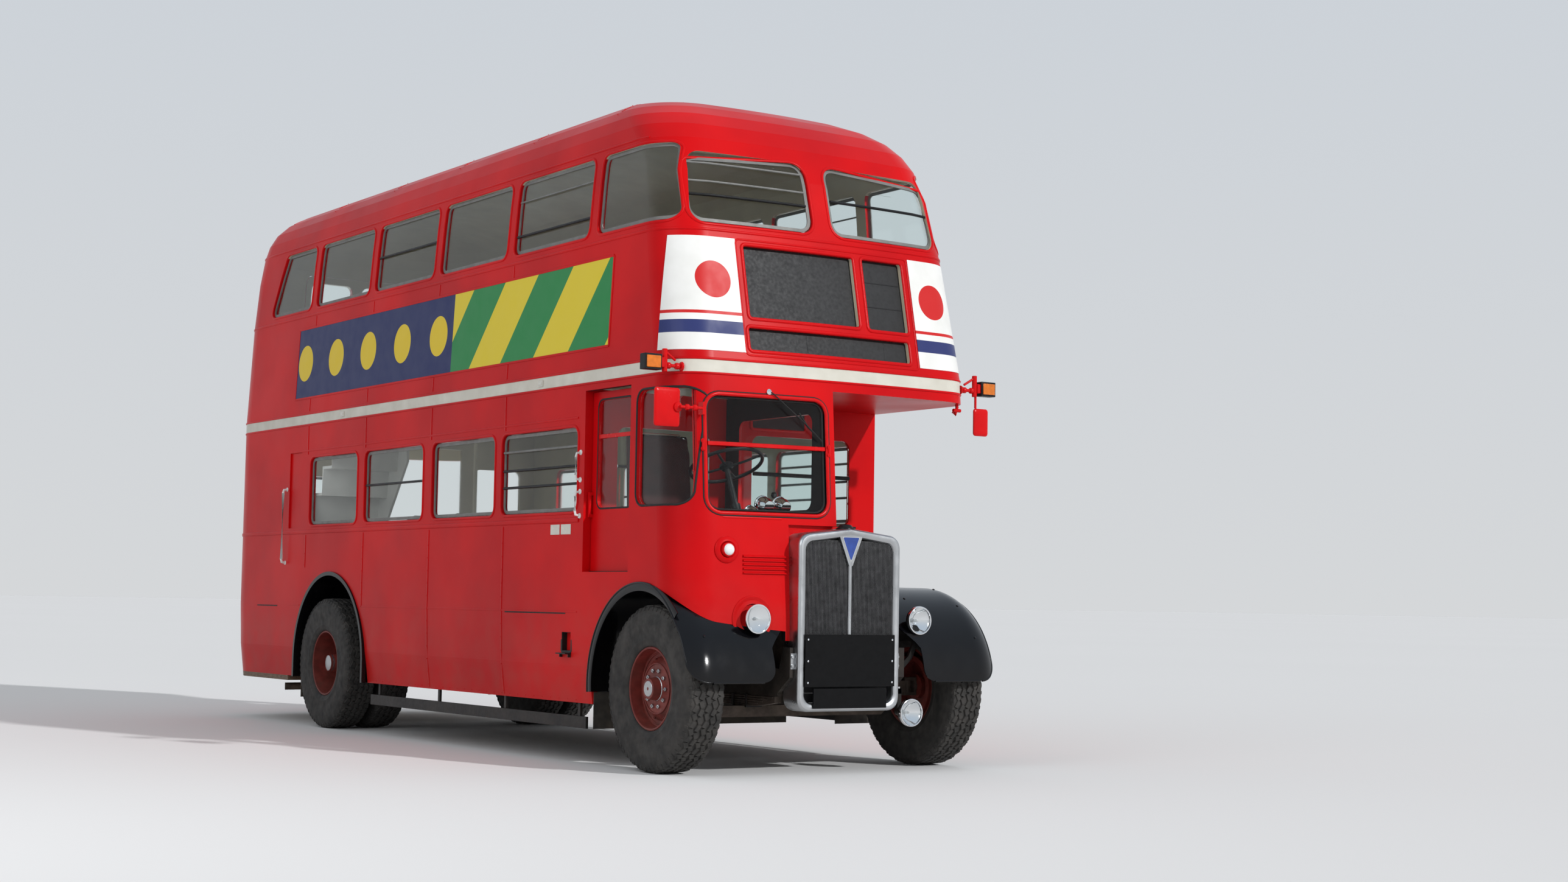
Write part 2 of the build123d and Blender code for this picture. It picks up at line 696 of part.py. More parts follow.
# Chassis: two side rails kicked up over the rear axle, joined by cross members
CROSS_Y = (-2260.0, -1960.0, -400.0, 900.0, 2300.0)
CROSS_W = 60.0
ENGINE_X = (-330.0, 300.0)
ENGINE_Y = (RAD_FRONT + RAD_DEPTH + 30, CAB_BACK - 60)
BEARER_Z = (440.0, 485.0)
SHAFT_Z = 520.0
SHAFT_R = 45.0
BEARER_Y = (ENGINE_Y[0] + 30, ENGINE_Y[1] - 90)
TOW_R = 16.0         # bore for a towing pin, up into the front bearer
JACK_Y = (-2400.0, 700.0)
JACK_HALF = 40.0
JACK_Z = 458.0
DUMB_IRON_X = ((-RAIL_X[1], RAD_X - RAD_W / 2 - 1), RAIL_X)
DUMB_IRON_TOP = 770.0
DUMB_IRON_REACH = 128.0
with BuildPart() as frame:
    for side in (-1, 1):
        with BuildSketch(Plane.YZ.offset(side * RAIL_X[0] if side > 0 else -RAIL_X[1])):
            with BuildLine():
                Polyline(
                    (RAIL_Y[0], RAIL_Z[0]),
                    (REAR_AXLE_Y - 560, RAIL_Z[0]),
                    (REAR_AXLE_Y - 380, KICK_Z[0]),
                    (REAR_AXLE_Y + 380, KICK_Z[0]),
                    (REAR_AXLE_Y + 560, RAIL_Z[0]),
                    (RAIL_Y[1], RAIL_Z[0]),
                    (RAIL_Y[1], RAIL_Z[1]),
                    (REAR_AXLE_Y + 400, KICK_Z[1]),
                    (REAR_AXLE_Y - 400, KICK_Z[1]),
                    (REAR_AXLE_Y - 560, RAIL_Z[1]),
                    (RAIL_Y[0], RAIL_Z[1]),
                    close=True,
                )
            make_face()
        extrude(amount=RAIL_X[1] - RAIL_X[0])
        for y in JACK_Y:
            add(block((side * RAIL_X[0], side * RAIL_X[1]), (y - JACK_HALF, y + JACK_HALF),
                      (JACK_Z, RAIL_Z[0] + 1)))
    for low_x, high_x in DUMB_IRON_X:
        with BuildSketch(Plane.YZ.offset(low_x)):
            with BuildLine():
                Polyline(
                    (RAIL_Y[0] + 20, RAIL_Z[0] + 10),
                    (RAIL_Y[0] + 20, RAIL_Z[1]),
                    (BONNET_Y[0] - FIT, RAIL_Z[1]),
                    (BONNET_Y[0] - 40, DUMB_IRON_TOP),
                    (RAIL_Y[0] - DUMB_IRON_REACH, DUMB_IRON_TOP),
                    (RAIL_Y[0] - DUMB_IRON_REACH, DUMB_IRON_TOP - 180),
                    close=True,
                )
            make_face()
        extrude(amount=high_x - low_x)
    for y in CROSS_Y:
        add(block((-RAIL_X[0], RAIL_X[0]), (y, y + CROSS_W), (RAIL_Z[0] + 10, RAIL_Z[1] - 90)))
    for y in CROSS_Y[:4]:
        add(cylinder_y(0, SHAFT_Z, SHAFT_R + 15, (y - 1, y + CROSS_W + 1)), mode=Mode.SUBTRACT)
save(frame.part, "chassis_frame")

# Bearers across the rails under the engine
with BuildPart() as bearers:
    for y in BEARER_Y:
        add(block((-RAIL_X[0] + FIT, RAIL_X[0] - FIT), (y, y + CROSS_W), BEARER_Z))
    add(cylinder_z(0, BEARER_Y[0] + CROSS_W / 2, TOW_R, (BEARER_Z[0] - 1, BEARER_Z[1] - 10)),
        mode=Mode.SUBTRACT)
save(bearers.part, "engine_bearers")

# Engine as a plain block on its two bearers
save(block(ENGINE_X, ENGINE_Y, (BEARER_Z[1] + FIT, 1380)), "engine")

# Gearbox and propeller shaft
GEARBOX_Y = (CROSS_Y[1] + CROSS_W + FIT, CROSS_Y[1] + CROSS_W + 700)
with BuildPart() as drive:
    add(block((-190, 190), GEARBOX_Y, (400, 650)))
    add(cylinder_y(0, SHAFT_Z, SHAFT_R, (ENGINE_Y[1] + FIT, GEARBOX_Y[0])))
    add(cylinder_y(0, SHAFT_Z, SHAFT_R, (GEARBOX_Y[1], REAR_AXLE_Y - 175)))
save(drive.part, "gearbox_and_shaft")

# Front axle beam with an eye at each end for the kingpin
EYE_Z = (470.0, 546.0)
with BuildPart() as beam:
    with BuildSketch(Plane.XZ.offset(-FRONT_AXLE_Y - 35)):
        with BuildLine():
            Polyline(
                (-KINGPIN_X, EYE_Z[1]),
                (-KINGPIN_X, EYE_Z[0]),
                (-KINGPIN_X + 60, EYE_Z[0]),
                (-KINGPIN_X + 220, BEAM_Z[0]),
                (KINGPIN_X - 220, BEAM_Z[0]),
                (KINGPIN_X - 60, EYE_Z[0]),
                (KINGPIN_X, EYE_Z[0]),
                (KINGPIN_X, EYE_Z[1]),
                (KINGPIN_X - 80, EYE_Z[1]),
                (KINGPIN_X - 260, BEAM_Z[1]),
                (-KINGPIN_X + 260, BEAM_Z[1]),
                (-KINGPIN_X + 80, EYE_Z[1]),
                close=True,
            )
        make_face()
    extrude(amount=70)
    for side in (-1, 1):
        add(cylinder_z(side * KINGPIN_X, FRONT_AXLE_Y, 38, EYE_Z))
        add(cylinder_z(side * KINGPIN_X, FRONT_AXLE_Y, KINGPIN_R + BEARING, EYE_Z),
            mode=Mode.SUBTRACT)
save(beam.part, "front_axle_beam")

# Knuckles: fork, kingpin and spindle
FORK_T = 20.0
KNUCKLE_FACE = KINGPIN_X + 65
SPINDLE_END = FRONT_TRACK / 2 + 95
with BuildPart() as knuckle:
    for z in ((EYE_Z[0] - FIT - FORK_T, EYE_Z[0] - FIT), (EYE_Z[1] + FIT, EYE_Z[1] + FIT + FORK_T)):
        add(block((KINGPIN_X - 30, KNUCKLE_FACE), (FRONT_AXLE_Y - 34, FRONT_AXLE_Y + 34), z))
    add(block((KNUCKLE_FACE - 20, KNUCKLE_FACE), (FRONT_AXLE_Y - 34, FRONT_AXLE_Y + 34),
              (EYE_Z[0] - FORK_T, EYE_Z[1] + FORK_T)))
    add(cylinder_z(KINGPIN_X, FRONT_AXLE_Y, KINGPIN_R, (EYE_Z[0] - FORK_T, EYE_Z[1] + FORK_T)))
    add(cylinder_x(FRONT_AXLE_Y, TYRE_R, SPINDLE_R, (KNUCKLE_FACE - 5, SPINDLE_END)))
save(knuckle.part, "knuckle_nearside")
save(mirror(knuckle.part, about=Plane.YZ), "knuckle_offside")


def revolved(profile, centre_x, axle_y):
    """A turned piece on an axle: profile rows are (distance outwards from centre_x, radius)."""
    with BuildPart() as turned:
        with BuildSketch(Plane.XZ.offset(-axle_y)):
            with BuildLine():
                Polyline(*[(centre_x + out, TYRE_R + r) for out, r in profile], close=True)
            make_face()
        revolve(axis=Axis((0, axle_y, TYRE_R), (1, 0, 0)))
    return turned.part


def flat_sided(profile, centre_x, axle_y):
    """A ring like a turned piece, but with TYRE_FLATS flat faces round it."""
    rings = []
    for step in range(TYRE_FLATS):
        turn = radians(360 * step / TYRE_FLATS)
        rings.append([(centre_x + out, axle_y + r * cos(turn), TYRE_R + r * sin(turn))
                      for out, r in profile])
    faces = []
    for step, ring in enumerate(rings):
        after = rings[(step + 1) % TYRE_FLATS]
        for j, corner in enumerate(ring):
            k = (j + 1) % len(profile)
            faces.append(Face(Wire.make_polygon([corner, ring[k], after[k], after[j]])))
    ring_solid = Solid(Shell(faces))
    with BuildPart() as made:
        add(ring_solid)
    return made.part


BORE_R = SPINDLE_R + BEARING
half = TYRE_W / 2
TYRE_PROFILE = (
    (-half + 27, RIM_R + BEAD_GAP), (half - 27, RIM_R + BEAD_GAP), (half, RIM_R + 135),
    (half - 26, TYRE_R), (-half + 26, TYRE_R), (-half, RIM_R + 135),
)
FRONT_WHEEL_PROFILE = (
    (-55, BORE_R), (98, BORE_R), (98, 0), (122, 0), (118, 62), (62, 72), (58, 150),
    (22, 195), (30, 232), (100, 240), (100, RIM_R), (-100, RIM_R), (-100, 240), (8, 230),
    (0, 200), (-90, 200), (-90, 165), (-10, 160), (-20, 80), (-55, 80),
)
TWIN_MID = TWIN_OUTER_X - TWIN_PITCH / 2
to_out = TWIN_PITCH / 2
REAR_WHEEL_PROFILE = (
    (-230, BORE_R), (205, BORE_R), (205, 0), (228, 0), (222, 62), (110, 78), (100, 120),
    (12, 135), (12, 228), (to_out + 100, 240), (to_out + 100, RIM_R),
    (to_out - 100, RIM_R), (to_out - 100, 248), (-to_out + 100, 248), (-to_out + 100, RIM_R),
    (-to_out - 100, RIM_R), (-to_out - 100, 240), (-12, 228), (-12, 200), (-200, 200),
    (-200, 170), (-40, 165), (-60, 90), (-230, 90),
)
front_wheel = revolved(FRONT_WHEEL_PROFILE, FRONT_TRACK / 2, FRONT_AXLE_Y)
front_tyre = flat_sided(TYRE_PROFILE, FRONT_TRACK / 2, FRONT_AXLE_Y)
rear_wheel = revolved(REAR_WHEEL_PROFILE, TWIN_MID, REAR_AXLE_Y)
with BuildPart() as twin_tyres:
    add(flat_sided(TYRE_PROFILE, TWIN_OUTER_X, REAR_AXLE_Y))
    add(flat_sided(TYRE_PROFILE, TWIN_OUTER_X - TWIN_PITCH, REAR_AXLE_Y))
for name, piece in (
    ("wheel_front", front_wheel),
    ("tyre_front", front_tyre),
    ("wheel_rear", rear_wheel),
    ("tyres_rear", twin_tyres.part),
):
    save(piece, name + "_nearside")
    save(mirror(piece, about=Plane.YZ), name + "_offside")

# Rear axle: casing, differential and a spindle each side
CASING_X = TWIN_MID - 238
with BuildPart() as axle:
    add(cylinder_x(REAR_AXLE_Y, TYRE_R, 60, (-CASING_X, CASING_X)))
    add(cylinder_x(REAR_AXLE_Y, TYRE_R, SPINDLE_R, (-TWIN_MID - 200, TWIN_MID + 200)))
    with BuildSketch(Plane.XZ.offset(-REAR_AXLE_Y)):
        with BuildLine():
            Polyline((-170, TYRE_R), (-170, TYRE_R + 60), (-80, TYRE_R + 140),
                     (80, TYRE_R + 140), (170, TYRE_R + 60), (170, TYRE_R), close=True)
        make_face()
    revolve(axis=Axis((0, REAR_AXLE_Y, TYRE_R), (1, 0, 0)))
    add(cylinder_y(0, SHAFT_Z, 80, (REAR_AXLE_Y - 175 + FIT, REAR_AXLE_Y)))
save(axle.part, "rear_axle")

# Leaf springs. Columns: axle y, half length, top of the pack at its middle
SPRING_T = 38.0
SPRING_W = RAIL_X[1] - RAIL_X[0]
SPRINGS = (
    (FRONT_AXLE_Y, 380.0, BEAM_Z[1] + FIT + SPRING_T),
    (REAR_AXLE_Y, 690.0, TYRE_R - 60 - FIT),
)
rail_mid = (RAIL_X[0] + RAIL_X[1]) / 2
with BuildPart() as springs:
    for axle_y, reach, top in SPRINGS:
        for side in (-1, 1):
            end = RAIL_Z[0] - FIT
            with BuildSketch(Plane.YZ.offset(side * rail_mid - SPRING_W / 2)):
                with BuildLine():
                    ThreePointArc((axle_y - reach, end), (axle_y, top), (axle_y + reach, end))
                    Line((axle_y + reach, end), (axle_y + reach, end - SPRING_T))
                    ThreePointArc(
                        (axle_y + reach, end - SPRING_T),
                        (axle_y, top - SPRING_T),
                        (axle_y - reach, end - SPRING_T),
                    )
                    Line((axle_y - reach, end - SPRING_T), (axle_y - reach, end))
                make_face()
            extrude(amount=SPRING_W)
save(springs.part, "leaf_springs")

# Front wings: a turned mudguard with a rolled outer lip
WING_LIFT = 4.0      # degrees above level where it ends in front of the wheel
WING_TAIL = 5.5      # degrees below level where it ends behind the wheel
with BuildPart() as wing:
    with BuildSketch(Plane.XZ.offset(-WING_Y)):
        with BuildLine():
            Polyline(
                (WING_IN_X, WING_Z + WING_R - 30),
                (WING_IN_X, WING_Z + WING_R),
                (HALF_WIDTH - 55, WING_Z + WING_R),
                (HALF_WIDTH - 12, WING_Z + WING_R - 18),
                (HALF_WIDTH + 4, WING_Z + WING_R - 50),
                (HALF_WIDTH - 8, WING_Z + WING_R - 50),
                (HALF_WIDTH - 22, WING_Z + WING_R - 26),
                (HALF_WIDTH - 60, WING_Z + WING_R - WING_T),
                (WING_IN_X + WING_T, WING_Z + WING_R - WING_T),
                (WING_IN_X + WING_T, WING_Z + WING_R - 30),
                close=True,
            )
        make_face()
    revolve(axis=Axis((0, WING_Y, WING_Z), (1, 0, 0)), revolution_arc=180 + WING_TAIL - WING_LIFT)
wing_rolled = wing.part.rotate(Axis((0, WING_Y, WING_Z), (1, 0, 0)), -90 - WING_TAIL)
with BuildPart() as wing_whole:
    add(wing_rolled)
    with BuildSketch(Plane.YZ.offset(RAIL_X[1] + FIT)):
        with Locations((WING_Y, WING_Z)):
            Circle(WING_R)
        with Locations((WING_Y, RAIL_Z[1] - WING_R - 60)):
            Rectangle(3 * WING_R, 2 * WING_R, mode=Mode.SUBTRACT)
    extrude(amount=WING_T)
with BuildPart() as wings:
    add(wing_whole.part)
    mirror(about=Plane.YZ)
save(wings.part, "front_wings")

# Rear wheel boxes with the black lip round each arch
outer_r = REAR_ARCH_R - TRIM_W + LINER_T
with BuildPart() as box:
    add(arch_prism(REAR_ARCH_Y, REAR_ARCH_Z, REAR_ARCH_R - FIT,
                   (HALF_WIDTH - 20, HALF_WIDTH + 12), SKIRT_Z))
    add(arch_prism(REAR_ARCH_Y, REAR_ARCH_Z, outer_r, (WELL_IN_X, HALF_WIDTH - 20), SKIRT_Z))
    add(
        arch_prism(REAR_ARCH_Y, REAR_ARCH_Z, outer_r - LINER_T,
                   (WELL_IN_X + LINER_T, HALF_WIDTH + 20), 0),
        mode=Mode.SUBTRACT,
    )
    add(block((0, WELL_IN_X + LINER_T), (REAR_AXLE_Y - 90, REAR_AXLE_Y + 90), (0, TYRE_R + 100)),
        mode=Mode.SUBTRACT)
with BuildPart() as wheel_boxes:
    add(box.part)
    mirror(about=Plane.YZ)
save(wheel_boxes.part, "wheel_boxes")

# Radiator: outer shell with a peaked top, core with upright slats, board over its lower half
RAD_PEAK = 45.0
RAD_EDGE = 52.0


def radiator_outline(edge):
    """Front outline of the radiator, moved inwards by edge."""
    half_w = RAD_W / 2 - edge
    top = RAD_Z[1] - edge
    with BuildSketch(Plane.XZ.offset(-RAD_FRONT)) as outline:
        with BuildLine():
            Polyline(
                (RAD_X - half_w, RAD_Z[0] + edge),
                (RAD_X + half_w, RAD_Z[0] + edge),
                (RAD_X + half_w, top - RAD_PEAK),
                (RAD_X, top),
                (RAD_X - half_w, top - RAD_PEAK),
                close=True,
            )
        make_face()
        corners = outline.vertices().filter_by(lambda v: abs(v.X - RAD_X) > half_w / 2)
        fillet(corners, 75 - edge / 2)
    return outline.sketch


with BuildPart() as rad_shell:
    add(extrude(radiator_outline(0), amount=-RAD_DEPTH, mode=Mode.PRIVATE))
    add(extrude(radiator_outline(RAD_EDGE), amount=-RAD_DEPTH, mode=Mode.PRIVATE),
        mode=Mode.SUBTRACT)
    add(block((RAD_X - 13, RAD_X + 13), (RAD_FRONT + 4, RAD_FRONT + 24),
              (RAD_Z[0] + RAD_EDGE - 5, RAD_Z[1] - RAD_EDGE + 2)))
    with Locations(Location((RAD_X, RAD_FRONT + 60, RAD_Z[1] + 6))):
        Cylinder(34, 40)
save(rad_shell.part, "radiator_shell")

SLAT_PITCH = 26.0
slats = int((RAD_W / 2 - RAD_EDGE - 30) / SLAT_PITCH)
with BuildPart() as rad_core:
    add(
        extrude(radiator_outline(RAD_EDGE + FIT), amount=-RAD_DEPTH + 62, mode=Mode.PRIVATE)
        .translate((0, 60, 0))
    )
    for i in range(1, slats + 1):
        for side in (-1, 1):
            x = RAD_X + side * (i * SLAT_PITCH + 2)
            add(block((x - 3, x + 3), (RAD_FRONT + 34, RAD_FRONT + 61), (870, 1380)))
save(rad_core.part, "radiator_core")
with BuildPart() as front_boards:
    add(
        block(
            (RAD_X - RAD_W / 2 + RAD_EDGE - 6, RAD_X + RAD_W / 2 - RAD_EDGE + 6),
            (RAD_FRONT - 6, RAD_FRONT - FIT),
            (535, 850),
        )
    )
    add(block((-295, 250), (RAD_FRONT - 12, RAD_FRONT - FIT), (405, 525)))
save(front_boards.part, "front_boards")

# Bonnet: top and kerb-side panel in one, hinged along the cab
with BuildPart() as bonnet:
    with BuildSketch(Plane.XZ.offset(-BONNET_Y[1])) as section:
        with BuildLine():
            Polyline(
                (BONNET_HINGE[0] + 8, BONNET_TOP),
                (BONNET_X, BONNET_TOP - BONNET_BEND),
                (BONNET_X, BONNET_LOW),
                (BONNET_X - BONNET_T, BONNET_LOW),
                (BONNET_X - BONNET_T, BONNET_TOP - BONNET_BEND - BONNET_T),
                (BONNET_HINGE[0] + 8, BONNET_TOP - BONNET_T),
                close=True,
            )
        make_face()
        corner_z = BONNET_TOP - BONNET_BEND
        fillet(section.vertices().filter_by(
            lambda v: abs(v.X - BONNET_X) < 1 and abs(v.Y - corner_z) < 1), 90)
        fillet(section.vertices().filter_by(
            lambda v: abs(v.X - BONNET_X + BONNET_T) < 1 and abs(v.Y - corner_z + BONNET_T) < 1),
            90 - BONNET_T)
    extrude(amount=BONNET_Y[1] - BONNET_Y[0])
    for y in BONNET_HINGE_ROWS:
        knuckle_y = (y - HINGE_HALF, y + HINGE_HALF)
        add(cylinder_y(*BONNET_HINGE, 2 * HINGE_PIN_R, knuckle_y))
        add(block((BONNET_HINGE[0] + 2, BONNET_HINGE[0] + 14), knuckle_y,
                  (BONNET_TOP - BONNET_T + 1, BONNET_HINGE[1])))
        add(cylinder_y(*BONNET_HINGE, HINGE_PIN_R + BEARING, (y - 30, y + 30)),
            mode=Mode.SUBTRACT)
save(bonnet.part, "bonnet")
with BuildPart() as valance:
    add(block((BONNET_X - BONNET_T, BONNET_X), BONNET_Y, (RAIL_Z[1] + FIT, BONNET_LOW - RUNNING)))
    add(block((BONNET_X - BONNET_T, RAIL_X[1] - 10), BONNET_Y,
              (RAIL_Z[1] + FIT, RAIL_Z[1] + FIT + BONNET_T)))
save(valance.part, "engine_side_panel")

# Fuel tank on the offside rail, under the floor
save(block((-960, -RAIL_X[1] - FIT), (-1900, -900), (410, 640)), "fuel_tank")

# Silencer and tail pipe along the offside rail
PIPE_R = 30.0
SILENCER_X = -RAIL_X[1] - 100 - FIT
TAIL_X = -(WELL_IN_X - PIPE_R - 12)
with BuildPart() as exhaust:
    add(cylinder_y(SILENCER_X, 540, 100, (-600, 300)))
    with BuildLine() as tail:
        FilletPolyline(
            (TAIL_X, 290, 600), (TAIL_X, 2320, 600), (TAIL_X - 60, 2400, 300),
            (-1070, 2560, 290), radius=60,
        )
    with BuildSketch(Plane(origin=(TAIL_X, 290, 600), z_dir=(0, 1, 0))):
        Circle(PIPE_R)
    sweep(path=tail.line)
save(exhaust.part, "exhaust")

# Lifeguard rails below both skirts, the flaps behind the wheels and the one under the engine
GUARD_Y = (-2560.0, 780.0)
with BuildPart() as guards:
    for side in (-1, 1):
        add(block((side * 1075, side * 1092), GUARD_Y, (225, 300)))
        for i in range(4):
            y = GUARD_Y[0] + 120 + i * (GUARD_Y[1] - GUARD_Y[0] - 240) / 3
            add(block((side * 1060, side * 1076), (y - 15, y + 15), (240, SKIRT_Z - FIT)))
save(guards.part, "lifeguard_rails")
with BuildPart() as flaps:
    wing_tail_y = WING_Y + WING_R * cos(radians(WING_TAIL))
    wing_tail_z = WING_Z - WING_R * sin(radians(WING_TAIL))
    for side in (-1, 1):
        add(block((side * 760, side * 1100), (wing_tail_y - 12, wing_tail_y - 4),
                  (230, wing_tail_z - FIT)))
        add(block((side * 600, side * 1080),
                  (REAR_ARCH_Y + REAR_ARCH_R - TRIM_W + 2, REAR_ARCH_Y + REAR_ARCH_R - TRIM_W + 10),
                  (220, SKIRT_Z - FIT)))
    add(block((-330, 330), (BEARER_Y[1] - FIT - 8, BEARER_Y[1] - FIT), (250, BEARER_Z[1])))
save(flaps.part, "mudflaps")


def lamp(x, z, radius, front_y, back_y):
    """A round lamp: domed lens, rim, and a bowl that tapers back to its stalk."""
    with BuildPart() as bowl:
        with BuildSketch(Plane.XY):
            with BuildLine():
                Polyline(
                    (0, front_y), (radius * 0.6, front_y + radius * 0.07),
                    (radius * 0.93, front_y + radius * 0.24), (radius, front_y + radius * 0.3),
                    (radius, front_y + radius * 0.45), (radius * 0.75, front_y + radius * 0.85),
                    (radius * 0.3, front_y + radius * 1.1), (radius * 0.3, back_y),
                    (0, back_y), close=True,
                )
            make_face()
        revolve(axis=Axis((0, 0, 0), (0, 1, 0)))
    return bowl.part.translate((x, 0, z))


# Headlamps, side lamp and fog lamp.
# Columns: x, z, radius, lens front y, back of the stalk y, what the stalk ends on
wing_drum = cylinder_x(WING_Y, WING_Z, WING_R + FIT, (WING_IN_X - 5, BIG))
LAMPS = (
    (-616, 940, 90, -3926, -3740, OUTER),
    (600, 940, 90, -3926, -3700, wing_drum),
    (-830, 1350, 45, -3880, -3700, OUTER),
)
FOG = (533.0, 366.0)
with BuildPart() as lamps:
    for x, z, radius, front_y, back_y, seat in LAMPS:
        add(cut(lamp(x, z, radius, front_y, back_y), [seat]))
    add(lamp(*FOG, 88, -3900, -3700))
    add(block((RAIL_X[1] + FIT, FOG[0] + 12), (-3720, -3690), (480, 510)))
    add(block((FOG[0] - 18, FOG[0] + 12), (-3720, -3690), (FOG[1] - 10, 510)))
save(lamps.part, "lamps")

# Direction indicators on brackets at band height
with BuildPart() as indicators:
    for side in (-1, 1):
        add(block((side * 1050, side * 1215), (-3615, -3585), (2430, 2460)))
        add(block((side * 1210, side * 1340), (-3640, -3560), (2410, 2480)))
    add(OUTER, mode=Mode.SUBTRACT)
save(indicators.part, "indicators")

# Door mirror on the offside, and a smaller one under the kerb-side indicator
with BuildPart() as mirrors:
    add(block((-1310, -1130), (-3700, -3682), (2060, 2330)))
    add(block((-1160, -990), (-3745, -3725), (2180, 2200)))
    add(block((-1160, -1140), (-3745, -3690), (2180, 2200)))
    add(block((CAB_PILLAR_X, CAB_PILLAR_X + 45), (-3745, -3640), (2150, 2230)))
    add(block((1180, 1300), (-3610, -3595), (2150, 2330)))
    add(block((1190, 1205), (-3605, -3590), (2320, 2430 - FIT)))
    add(OUTER, mode=Mode.SUBTRACT)
save(mirrors.part, "mirrors")


def bench(x, y, floor):
    """One seat across the bus: cushion, back and a leg, facing forward from y."""
    with BuildPart() as seat:
        with BuildSketch(Plane.YZ.offset(min(x))):
            with BuildLine():
                Polyline(
                    (y, floor + 330), (y, floor + 440), (y + 400, floor + 415),
                    (y + 455, floor + 930), (y + 515, floor + 930), (y + 480, floor + 330),
                    (y + 300, floor + 330), (y + 285, floor + FIT), (y + 215, floor + FIT),
                    (y + 200, floor + 330), close=True,
                )
            make_face()
        extrude(amount=abs(x[1] - x[0]))
    return seat.part


# Seats: the driver's, those of the lower saloon and those of the upper saloon
SEAT_PITCH = 715.0
AISLE = 450.0
low_x = (AISLE / 2, inner_half - 10)
up_x = (AISLE / 2, 1035.0)
with BuildPart() as seats:
    add(bench((-860, -400), -3090, CAB_FLOOR))
    for side, upper_rows in ((-1, 6), (1, 8)):
        for row in range(4):
            add(bench((side * low_x[0], side * low_x[1]), -2400 + row * SEAT_PITCH, LOWER_FLOOR))
        box_top = REAR_ARCH_Z + outer_r + FIT
        add(block((side * (WELL_IN_X - 10), side * (inner_half - 10)), (1150, 1890),
                  (box_top, box_top + 110)))
        for row in range(upper_rows):
            add(bench((side * up_x[0], side * up_x[1]), -3130 + row * SEAT_PITCH, UPPER_FLOOR))
save(seats.part, "seats")

# Guard panel round the stairwell, and the grab poles at the platform edge and in the saloon
GUARD_TOP = UPPER_FLOOR + 800
with BuildPart() as guard_and_poles:
    add(block((STAIR_X[1] + STRINGER_T + 2, STAIR_X[1] + STRINGER_T + 22),
              (STAIR_TOP_Y + 60, 2822), (UPPER_FLOOR + FIT, GUARD_TOP)))
    add(block((-1035, STAIR_X[1] + STRINGER_T + 5), (2802, 2822), (UPPER_FLOOR + FIT, GUARD_TOP)))
    for x, y, z in (
        (720, 3640, SKIRT_Z), (-AISLE / 2 + 20, 900, LOWER_FLOOR), (AISLE / 2 - 20, -700, LOWER_FLOOR)
    ):
        add(cylinder_z(x, y, 16, (z + FIT, UPPER_FLOOR - FLOOR_T - FIT)))
save(guard_and_poles.part, "guard_and_poles")

# Steering column and wheel
WHEEL_CENTRE = (-600.0, -3390.0, 1870.0)
column_dir = Vector(0, -0.45, -1).normalized()
foot = Vector(*WHEEL_CENTRE) + column_dir * ((WHEEL_CENTRE[2] - CAB_FLOOR - 2) / -column_dir.Z)
with BuildPart() as steering:
    with BuildSketch(Plane(origin=WHEEL_CENTRE, x_dir=(1, 0, 0), z_dir=-column_dir)):
        Circle(22)
    extrude(amount=-(foot - Vector(*WHEEL_CENTRE)).length)
    with BuildSketch(Plane(origin=WHEEL_CENTRE, x_dir=(1, 0, 0), z_dir=-column_dir)):
        Circle(240)
        Circle(216, mode=Mode.SUBTRACT)
        Rectangle(450, 22)
        Rectangle(22, 450)
    extrude(amount=24)
    add(block((-BIG, BIG), (-BIG, BIG), (0, CAB_FLOOR + FIT)), mode=Mode.SUBTRACT)
save(steering.part, "steering_wheel")

# Glass: the upper deck's, then the lower deck's with the cab and its bulkhead
save(glaze(upper_side_openings(OFF_X, -FIT) + upper_side_openings(NEAR_X, -FIT)
           + front_openings(-FIT)), "glazing_upper")
with BuildPart() as glazing_lower:
    add(glaze(lower_side_openings(OFF_X, -FIT) + lower_side_openings(NEAR_X, -FIT) + [
        end_opening(*REAR_WINDOW, (REAR_SEAM, BIG), grow=-FIT),
        end_opening(*WINDSCREEN, cab_front_y, 70, grow=-FIT),
        side_opening(*CAB_SIDE_WIN, (-BIG / 4, CAB_PILLAR_X - FIT), 70, grow=-FIT),
    ]))
    add(side_opening(*CAB_NEAR_WIN, (CAB_X - 18, CAB_X - 12), grow=-FIT))
    add(end_opening(*CAB_REAR_WIN, (BULKHEAD[0] + 12, BULKHEAD[0] + 18), grow=-FIT))
    add(end_opening(*NEAR_BULK_WIN, (BULKHEAD[0] + 12, BULKHEAD[0] + 18), grow=-FIT))
save(glazing_lower.part, "glazing_lower")
save(side_opening((-3065, -2636), (1620, 2300), (DOOR_X + 10, DOOR_X + 16), 45, grow=-FIT),
     "cab_door_glass")
with BuildPart() as exit_glass:
    for x in ((45, EXIT_HALF - 55), (-EXIT_HALF + 55, -45)):
        add(end_opening(x, (EXIT_Z[0] + 55, EXIT_Z[1] - 55), (REAR_SEAM, BIG), grow=-FIT))
    add(GLASS_SKIN, mode=Mode.INTERSECT)
save(exit_glass.part, "emergency_door_glass")

# Blind boxes set into the upper front
with BuildPart() as blind_boxes:
    for x, z in BLIND_BOXES:
        add(end_opening(x, z, blind_y, 15, grow=-FIT))
    add(body_form(30), mode=Mode.INTERSECT)
    add(body_form(WALL + 10), mode=Mode.SUBTRACT)
save(blind_boxes.part, "blind_boxes")
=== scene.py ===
"""Looks of the half-cab double deck bus: paint, trim, glass, lamps, wheels and seats."""

from functools import partial
from math import copysign, cos, pi, radians, sin, sqrt, tan
from types import SimpleNamespace

import bmesh
import bpy
from mathutils import Matrix, Vector
from mathutils.bvhtree import BVHTree


